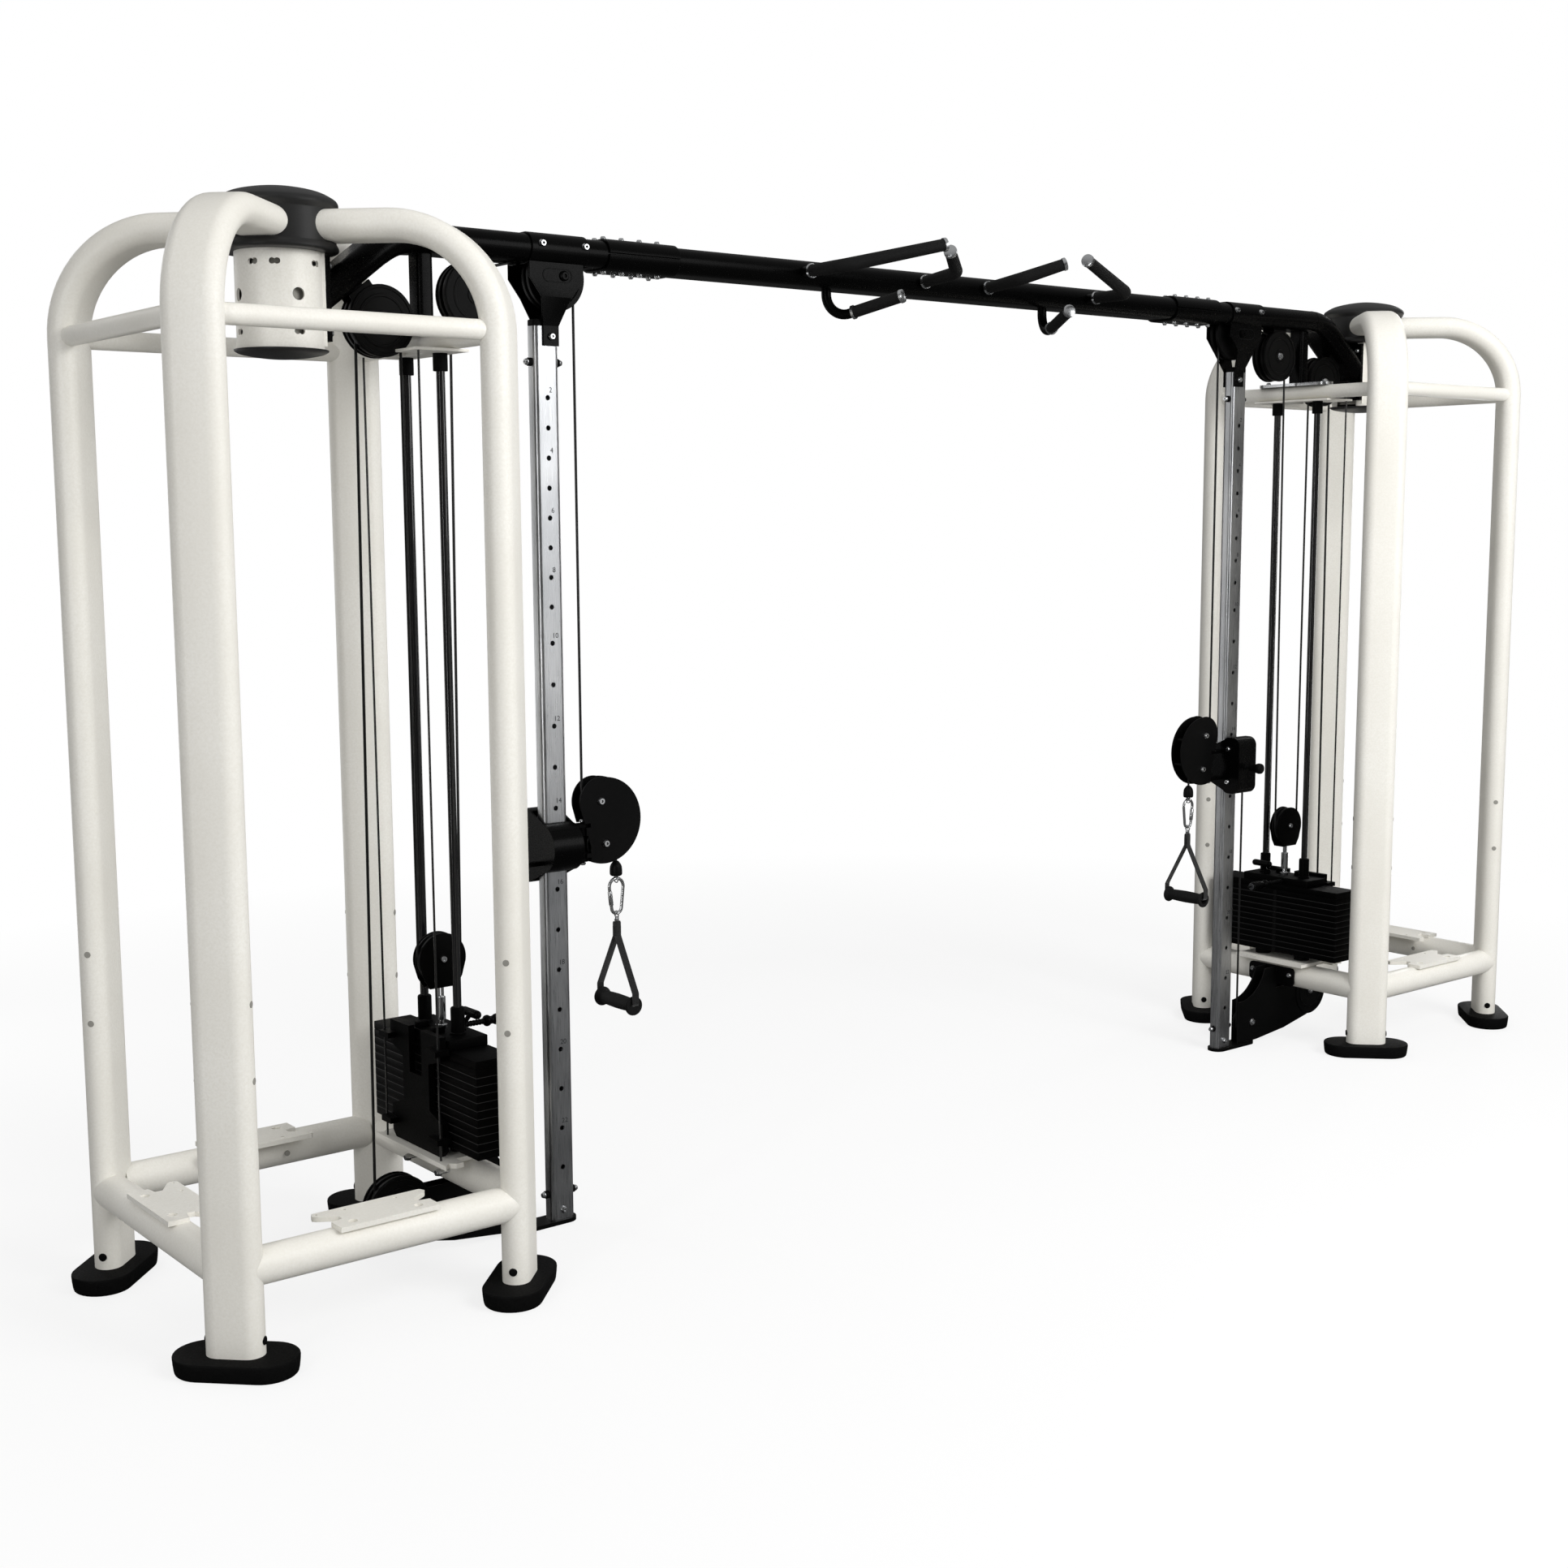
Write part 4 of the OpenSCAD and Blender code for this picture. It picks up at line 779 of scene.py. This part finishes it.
def build_stack_head(name, sign, look):
    """Lifting plate with its block, sleeves, turnbuckle and pulley cheeks."""
    shape = Shape(sign)
    shape.prism(plate_outline(), "xy", LIFT_Z, HEAD_Z - PLATE_GAP, look.plate_chamfer)
    shape.prism(rounded_box(PLATE[0], HEAD_LENGTH, 4, (STACK_X, 0), 3), "xy", HEAD_Z, HEAD_TOP, 1.5)
    for y in (-ROD_Y, ROD_Y):
        shape.lathe([(9.9, 0), (18, 0), (18, 4), (16, 6), (16, 59), (14.5, 62), (9.9, 62), (9.9, 0)],
                    (STACK_X, y, HEAD_TOP))
    cx, cz = FLOAT_C
    block = arc((cx, cz), FLOAT_R + 5, -10, 190, 30)
    block += [(cx - 48, cz - 44), (cx - 34, cz - 66), (cx + 34, cz - 66), (cx + 48, cz - 44)]
    for y in (-17, 13):
        shape.prism(block, "xz", y, y + 4, 0.8)
    shape.prism(rounded_box(68, 26, 2, (cx, 0), 3), "xy", cz - 66, cz - 61, 0.8)
    for y in (-36, 36):
        shape.prism(rounded_box(30, 20, 3, (STACK_X + 30, y), 3), "xy", HEAD_TOP, HEAD_TOP + 14, 1.2)
    shape.index = 1
    shape.lathe([(0, 0), (14, 0), (14, 8), (7, 9), (6, 20), (11, 20), (11, 72), (6, 73), (0, 73)],
                (STACK_X, 0, HEAD_TOP))
    for s in (-5, 5):
        shape.tube([(cx + s, 0, HEAD_TOP + 70), (cx + s, 0, cz - 63)], 3.5, 14)
    for way in ("y", "-y"):
        shape.lathe([(0, 17), (9, 17), (9, 20), (6.5, 24), (3, 24), (3, 22), (0, 22)], (cx, 0, cz), way, 24)
    shape.index = 2
    shape.tube([(x, 0, z) for x, z in arc((cx, cz), FLOAT_R, 180, 360, 24)], CABLE_R, 12)
    shape.index = 0
    shape.prism(rounded_box(25, 40, 2, (STACK_X, 0), 2), "xy", STACK_FOOT + 8, LIFT_Z + 1, 1)
    make_piece(name + "_lift_head", shape, ["painted_iron", "chrome_plate", "nylon_jacket"], name + "_stack",
               [name + "_stack_head"])


def build_selector(name, sign):
    """Ridged shank by geometry nodes, then the grip and its tail."""
    face = STACK_X - PLATE[0] / 2 - 0.4
    y, z = SELECTOR
    body = name + "_selector_pin"
    ridge = Shape(sign)
    ridge.lathe([(5, 0), (6.4, 0), (7, 0.8), (7, 4.2), (6.4, 5), (5.5, 5.4), (5.5, 8), (5, 8)], (face, y, z), "-x", 20)
    repeat_piece(name + "_selector_ridges", ridge, "black_powder_coat", body, 10, (-8, 0, 0), ())
    shape = Shape(sign)
    grip = [(5, 78), (10.5, 79), (13, 83), (13, 89), (9.8, 94), (9.5, 101), (12.6, 108), (13.5, 122), (13.4, 144),
            (12, 151), (9, 154), (2.5, 154.4)]
    profile = [(0, -61), (5, -60), (5, 78)] + smooth_line(grip, 4) + [(2.5, 173), (1.2, 175), (0, 175)]
    shape.lathe(profile, (face, y, z), "-x", 28)
    shape.index = 1
    shape.lathe([(2.5, 153), (10, 153), (10.5, 154.2), (9.5, 155.6), (2.5, 155.6)], (face, y, z), "-x", 28)
    make_piece(name + "_selector_grip", shape, ["black_powder_coat", "grey_enamel"], body, [name + "_selector_pin"])


def build_carriages(look):
    """Sliding carriages with their screws and pull knobs."""
    for name, sign in SIDES:
        dress(name + "_carriage", "black_powder_coat", 1.5)
        screws = Shape(sign)
        for rise in (-CARRIAGE_SCREW_RISE, CARRIAGE_SCREW_RISE):
            screws.lathe([(0, 0), (8, 0), (8, 3.4), (5.6, 7.4), (3.2, 7.4), (3.2, 4), (0, 4)],
                         (*CARRIAGE_SCREW, BODY_Z + rise), "-x", 20)
        for way in ("z", "-z"):
            screws.lathe([(0, 49), (7, 49.5), (7, 52), (5, 55), (0, 55)], (FRONT_RUN, 0, BODY_Z), way, 20)
        make_piece(name + "_carriage_screws", screws, ["stainless_steel"], name + "_carriage", ())
        knob = Shape(sign)
        place = (COLUMN_X, 0, PIN_Z)
        profile = [(10, 94), (10.5, 107), (11, 114), (14.5, 119), (16, 125), (16, 131), (14, 136), (8, 138), (0, 138)]
        knob.lathe([(0, 94)] + smooth_line(profile, 4), place, "-y", 32)
        knob.index = 1
        knob.lathe([(0, 18.5), (4.2, 18.6), (5, 20), (5, 99), (0, 99)], place, "-y", 20)
        make_piece(name + "_pull_knob", knob, ["glass_filled_nylon", "chrome_plate"], name + "_pull_pin",
                   [name + "_pull_pin"])


def build_swivels(look):
    """Swivel housings with their pulleys and axle screws."""
    for name, sign in SIDES:
        dress(name + "_swivel_housing", "black_sheet_coat", 1.0)
        for pulley in ("_upper_swivel_pulley", "_lower_swivel_pulley"):
            dress(name + pulley, "glass_filled_nylon")
        screws = Shape(sign)
        for cx, cz in (UPPER_C, LOWER_C):
            for way in ("y", "-y"):
                screws.lathe([(0, 19), (9.4, 19), (9.4, 22), (7, 26.4), (3.4, 26.4), (3.4, 23), (0, 23)],
                             (cx, 0, cz), way, 24)
        make_piece(name + "_swivel_screws", screws, ["stainless_steel"], name + "_swivel", ())


def build_handles(look):
    """Snap hooks with the cable's ball stop, straps and grips."""
    for name, sign in SIDES:
        body = name + "_handle"
        clip = Shape(sign)
        lean = math.degrees(math.acos((HOOK_TOP_R - HOOK_LOW_R) / (HOOK_TOP[1] - HOOK_LOW[1])))
        loop = arc(HOOK_TOP, HOOK_TOP_R, lean - 90, 270 - lean, 20)
        loop += arc(HOOK_LOW, HOOK_LOW_R, 270 - lean, 270 + lean, 16)
        clip.tube([(x, 0, z) for x, z in loop], 4, 16, True)
        # Sleeve nut on the opening side, where the loop starts and ends
        a, b = [Vector((x, 0, z)) for x, z in (loop[0], loop[-1])]
        clip.tube([a.lerp(b, share) for share in (0.15, 0.2, 0.8, 0.85)], [4.2, 5.6, 5.6, 4.2], 12)
        bottom, peak = BALL
        # An eye at each end: its height, and where its neck starts and ends
        for z, low_z, high_z in ((815, 821, bottom), (729, 712, 723)):
            ring = [(PULL_X, 8 * math.cos(t), z + 8 * math.sin(t)) for t in round_angles(24)]
            clip.tube(ring, 1.6, 10, True)
            clip.prism(rounded_box(8, 11, 2, (PULL_X, 0), 3), "xy", low_z, high_z, 0.8)
        clip.index = 1
        ball = [(0, bottom), (12.5, bottom), (15, bottom + 4), (15, bottom + 16), (13.4, bottom + 25), (9, peak - 4),
                (5, peak), (0, peak)]
        clip.lathe(ball[:1] + smooth_line(ball[1:], 4), (PULL_X, 0, 0), "z", 32)
        make_piece(name + "_snap_hook", clip, ["chrome_plate", "glass_filled_nylon"], body, [name + "_carabiner"])
        build_strap(name, sign, body, look)
        grip = Shape(sign)
        half = [(13, 71), (21.5, 71), (23.5, 68), (23.3, 65), (20.5, 62), (16.6, 57), (16.4, 48), (17.4, 27), (18, 0)]
        outline = smooth_line(half, 5)
        outline += [(r, -h) for r, h in reversed(outline[:-1])]
        outline += [(13, -71), (13, 0), (13, 71)]
        grip.lathe(outline, (PULL_X, 0, GRIP_Z), "y", 36)
        piece = make_piece(name + "_hand_grip", grip, ["nitrile_foam"], body, [name + "_handle_grip"])


def build_strap(name, sign, body, look):
    """Webbing that runs down both sides and through the grip, stitched together below the hook."""
    half = look.strap_width / 2
    half_thick = 1.4
    loop = bent_path([(0, 3.4, 700), (0, 3.4, 676), (0, 76, 546), (0, 76, GRIP_Z), (0, 0, GRIP_Z)], 9, 6)
    side = [(p.y, p.z) for p in loop]
    path = [(PULL_X, y, z) for y, z in side] + [(PULL_X, -y, z) for y, z in reversed(side[:-1])]
    shape = Shape(sign)
    outline = [(-half, -half_thick), (-half, half_thick), (half, half_thick), (half, -half_thick)]
    shape.sweep(outline, path, (1, 0, 0))
    cuff = [(-4.9, 676), (-5, 684), (-5, 708), (-3, 712), (3, 712), (5, 708), (5, 684), (4.9, 676)]
    shape.prism(cuff, "yz", PULL_X - half, PULL_X + half, 0.8)
    piece = make_piece(name + "_strap", shape, ["polyester_webbing"], body, [name + "_handle_strap"], 30)


def run(name, sign, high, low, stands_for=()):
    """Straight cable whose ends belong to two bodies, with rings only at its ends so that it stays straight."""
    shape = Shape(sign)
    shape.tube([(high[0], 0, high[1]), (low[0], 0, low[1])], CABLE_R, 14)
    piece = make_piece(name, shape, ["nylon_jacket"], None, stands_for)
    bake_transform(piece)


def build_cables(look):
    """Fixed cables, the runs between bodies and the bend round the swivel pulleys."""
    dress("drive_cables", "nylon_jacket", 0)
    for name, sign in SIDES:
        first = sign > 0
        run(name + "_run_to_beam", sign, (BEAM_C[0] + BEAM_PULLEY_R, BEAM_C[1]), (STACK_X - FLOAT_R, FLOAT_C[1]),
            ["stack_cables"] if first else ())
        out_x = STACK_X + FLOAT_R
        run(name + "_run_to_hub", sign, (out_x, HUB_C[1]), (out_x, FLOAT_C[1]))
        run(name + "_run_above_carriage", sign, (FRONT_RUN, TOP_Z), (FRONT_RUN, UPPER_C[1]),
            ["column_cables"] if first else ())
        foot, anchor = [(REAR_RUN, z) for z in REAR_RUN_Z]
        run(name + "_run_below_carriage", sign, foot, anchor)
        wrap = Shape(sign)
        way = math.atan2(LOWER_C[1] - UPPER_C[1], LOWER_C[0] - UPPER_C[0])
        half = math.acos(2 * SWIVEL_R / math.dist(UPPER_C, LOWER_C))
        leave = math.degrees(way + half)
        path = arc(UPPER_C, SWIVEL_R, 0, leave, 12) + arc(LOWER_C, SWIVEL_R, leave + 180, 180, 12)
        wrap.tube([(x, 0, z) for x, z in path], CABLE_R, 14)
        make_piece(name + "_swivel_cable", wrap, ["nylon_jacket"], name + "_swivel", [name + "_pull_cable"])
        run(name + "_run_to_handle", sign, (PULL_X, LOWER_C[1]), (PULL_X, BALL[1]))


def build_pulleys(look):
    """Pulleys that turn in the frame."""
    for name, _ in SIDES:
        for pulley in ("column_top", "beam", "hub", "base", "column_foot"):
            dress(name + "_" + pulley + "_pulley", "glass_filled_nylon")


# Stage


def build_stage(look):
    """Camera, floor, surroundings and lamps."""
    scene = bpy.context.scene
    scene.view_settings.view_transform = "Standard"
    yaw, pitch, roll = CAMERA_TURN
    ahead = Vector((math.cos(pitch) * math.sin(yaw), math.cos(pitch) * math.cos(yaw), math.sin(pitch)))
    right = Vector((math.cos(yaw), -math.sin(yaw), 0))
    up = right.cross(ahead)
    rolled_right = math.cos(roll) * right + math.sin(roll) * up
    rolled_up = -math.sin(roll) * right + math.cos(roll) * up
    data = bpy.data.cameras.new("camera")
    data.sensor_width = SENSOR_MM
    data.lens = FOCAL_PIXELS * SENSOR_MM / PHOTO_PIXELS
    data.clip_end = 100
    camera = new_object("camera", data)
    camera.matrix_world = Matrix((rolled_right, rolled_up, -ahead)).transposed().to_4x4()
    camera.location = Vector(CAMERA_PLACE) * MM
    scene.camera = camera
    build_floor()
    build_world()
    # Each lamp's name, place, target, size in metres and watts
    lamps = (
        ("key", (0.3, -5.2, 3.7), (-0.2, 0, 1.3), (2.4, 2.4), look.key_watts),
        ("top", (0.0, -0.5, 6.0), (0, 0, 1.0), (6.0, 6.0), look.top_watts),
        ("front_strip", (1.4, -4.25, 2.85), (0.6, 0, 1.7), (1.6, 2.6), look.front_strip_watts),
        ("front_low_strip", (1.4, -4.25, 0.8), (0.6, 0, 1.0), (1.6, 1.2), look.front_strip_watts * LOW_STRIP_SHARE),
        ("back_strip", (-2.3, 2.85, 1.7), (-1.4, 0, 1.4), (0.9, 3.3), look.back_strip_watts),
        ("edge_strip", (-5.4, -2.2, 1.9), (0, 0, 1.4), (0.35, 3.4), look.edge_strip_watts),
        ("right_strip", (4.6, 0.9, 1.7), (0, 0, 1.4), (0.5, 3.4), look.edge_strip_watts * RIGHT_STRIP_SHARE),
    )
    for name, place, target, size, watts in lamps:
        lamp = bpy.data.lights.new(name, "AREA")
        lamp.shape = "RECTANGLE"
        lamp.energy = watts
        lamp.size, lamp.size_y = size
        lamp_object = new_object(name, lamp)
        lamp_object.location = place
        # Only the tall strips show in polished and painted steel
        lamp_object.visible_glossy = "strip" in name
        lamp_object.visible_camera = False
        lamp_object.rotation_euler = (Vector(target) - Vector(place)).to_track_quat("-Z", "Y").to_euler()


def build_floor():
    """White floor just under the feet."""
    size = 40.0
    drop = -0.0005
    mesh = bpy.data.meshes.new("floor")
    corners = [(-size, -size, drop), (size, -size, drop), (size, size, drop), (-size, size, drop)]
    mesh.from_pydata(corners, [], [(0, 1, 2, 3)])
    floor = new_object("floor", mesh)
    material = bpy.data.materials.new("white_studio_floor")
    material.use_nodes = True
    tree = material.node_tree
    tree.nodes.clear()
    seen = add_node(tree, "ShaderNodeLightPath")
    by_camera = seen.outputs["Is Camera Ray"]
    # Light that the floor throws back is kept low, and reflections see it darker still, as on a raised studio table
    tone = ramp(tree, seen.outputs["Is Glossy Ray"], ramp(tree, by_camera, 0.35, 0.9), 0.1)
    plain = add_node(tree, "ShaderNodeBsdfDiffuse", {"Color": tone})
    glow = add_node(tree, "ShaderNodeEmission", {"Color": (1, 1, 1, 1), "Strength": 1.0})
    # Shadows fade out with the distance from the machine, so that the floor meets the background without a line
    place = add_node(tree, "ShaderNodeTexCoord")
    reach = add_node(tree, "ShaderNodeVectorMath", {0: place.outputs["Object"]}, operation="LENGTH")
    fade = ramp(tree, reach.outputs["Value"], 0.8, 1.0, 2.2, 4.6)
    mixed = add_node(tree, "ShaderNodeMixShader", {
        0: product(tree, by_camera, fade), 1: plain.outputs[0], 2: glow.outputs[0]})
    add_node(tree, "ShaderNodeOutputMaterial", {"Surface": mixed.outputs[0]})
    mesh.materials.append(material)


def build_world():
    """White surroundings that reflections see as a dim room."""
    world = bpy.data.worlds.new("white_studio")
    bpy.context.scene.world = world
    world.use_nodes = True
    tree = world.node_tree
    tree.nodes.clear()
    seen = add_node(tree, "ShaderNodeLightPath")
    # Even light from all round; reflections see a dark room that brightens overhead, and the camera sees white
    place = add_node(tree, "ShaderNodeTexCoord")
    height = add_node(tree, "ShaderNodeSeparateXYZ", {"Vector": place.outputs["Generated"]})
    room = ramp(tree, height.outputs["Z"], 0.06, 0.38, 0.1, 0.7)
    fill = ramp(tree, seen.outputs["Is Glossy Ray"], 0.455, room)
    strength = ramp(tree, seen.outputs["Is Camera Ray"], fill, 1.0)
    light = add_node(tree, "ShaderNodeBackground", {"Color": (1, 1, 1, 1), "Strength": strength})
    add_node(tree, "ShaderNodeOutputWorld", {"Surface": light.outputs[0]})


# Add-on


class CrossoverLook(bpy.types.PropertyGroup):
    """Sizes and light levels that a user may change."""

    foot_length: FloatProperty(
        name="Foot length", description="Long size of a rubber foot in mm", default=257.0, min=200)
    foot_width: FloatProperty(name="Foot width", description="Short size of a rubber foot in mm", default=134.0, min=90)
    edge: FloatProperty(name="Edge", description="Rounding of welded and cut edges in mm", default=1.2, min=0.2)
    plate_chamfer: FloatProperty(
        name="Plate edge", description="Rounding of the weight plates in mm", default=1.4, min=0.3)
    grip_diameter: FloatProperty(
        name="Grip diameter", description="Foam on the pull up bars in mm", default=33.0, min=28)
    strap_width: FloatProperty(name="Strap width", description="Webbing of the handle in mm", default=18.0, min=15)
    number_height: FloatProperty(
        name="Number height", description="Hole numbers on the column in mm", default=17.0, min=8)
    key_watts: FloatProperty(name="Key light", description="Main lamp", default=202.0, min=0, subtype="POWER")
    top_watts: FloatProperty(name="Top light", description="Overhead lamp", default=32.0, min=0, subtype="POWER")
    front_strip_watts: FloatProperty(
        name="Front strip", description="Tall lamp seen in the columns", default=50.0, min=0, subtype="POWER")
    edge_strip_watts: FloatProperty(
        name="Edge strip", description="Narrow lamp that draws lines on rods and edges", default=40.0, min=0,
        subtype="POWER")
    back_strip_watts: FloatProperty(
        name="Back strip", description="Tall lamp behind the left tower", default=13.0, min=0, subtype="POWER")


def operator(builder):
    """One operator for a group of pieces, named and described by the function that builds them."""
    name = builder.__name__.replace("build_", "")

    def execute(self, context):
        builder(context.scene.crossover_look)
        return {"FINISHED"}

    return type("CROSSOVER_OT_" + name, (bpy.types.Operator,), {
        "bl_idname": "crossover." + name, "bl_label": name.replace("_", " ").capitalize(), "__doc__": builder.__doc__,
        "execute": execute})


OPERATORS = [operator(builder) for builder in (
    build_towers, build_stops, build_rails, build_hub_caps, build_beam, build_pull_up_bars, build_columns, build_stacks,
    build_pulleys, build_carriages, build_swivels, build_handles, build_cables, build_stage)]


class CROSSOVER_PT_panel(bpy.types.Panel):
    """Lists the pieces in the sidebar."""

    bl_label = "Cable crossover"
    bl_idname = "CROSSOVER_PT_panel"
    bl_space_type = "VIEW_3D"
    bl_region_type = "UI"
    bl_category = "Crossover"

    def draw(self, context):
        look = context.scene.crossover_look
        for key in CrossoverLook.__annotations__:
            self.layout.prop(look, key)
        for kind in OPERATORS:
            self.layout.operator(kind.bl_idname)


CLASSES = [CrossoverLook, *OPERATORS, CROSSOVER_PT_panel]


def register():
    for kind in CLASSES:
        bpy.utils.register_class(kind)
    bpy.types.Scene.crossover_look = PointerProperty(type=CrossoverLook)


def unregister():
    del bpy.types.Scene.crossover_look
    for kind in reversed(CLASSES):
        bpy.utils.unregister_class(kind)


def main():
    register()
    for kind in OPERATORS:
        group, name = kind.bl_idname.split(".")
        getattr(getattr(bpy.ops, group), name)()
    bpy.context.view_layer.update()


if __name__ == "__main__":
    main()
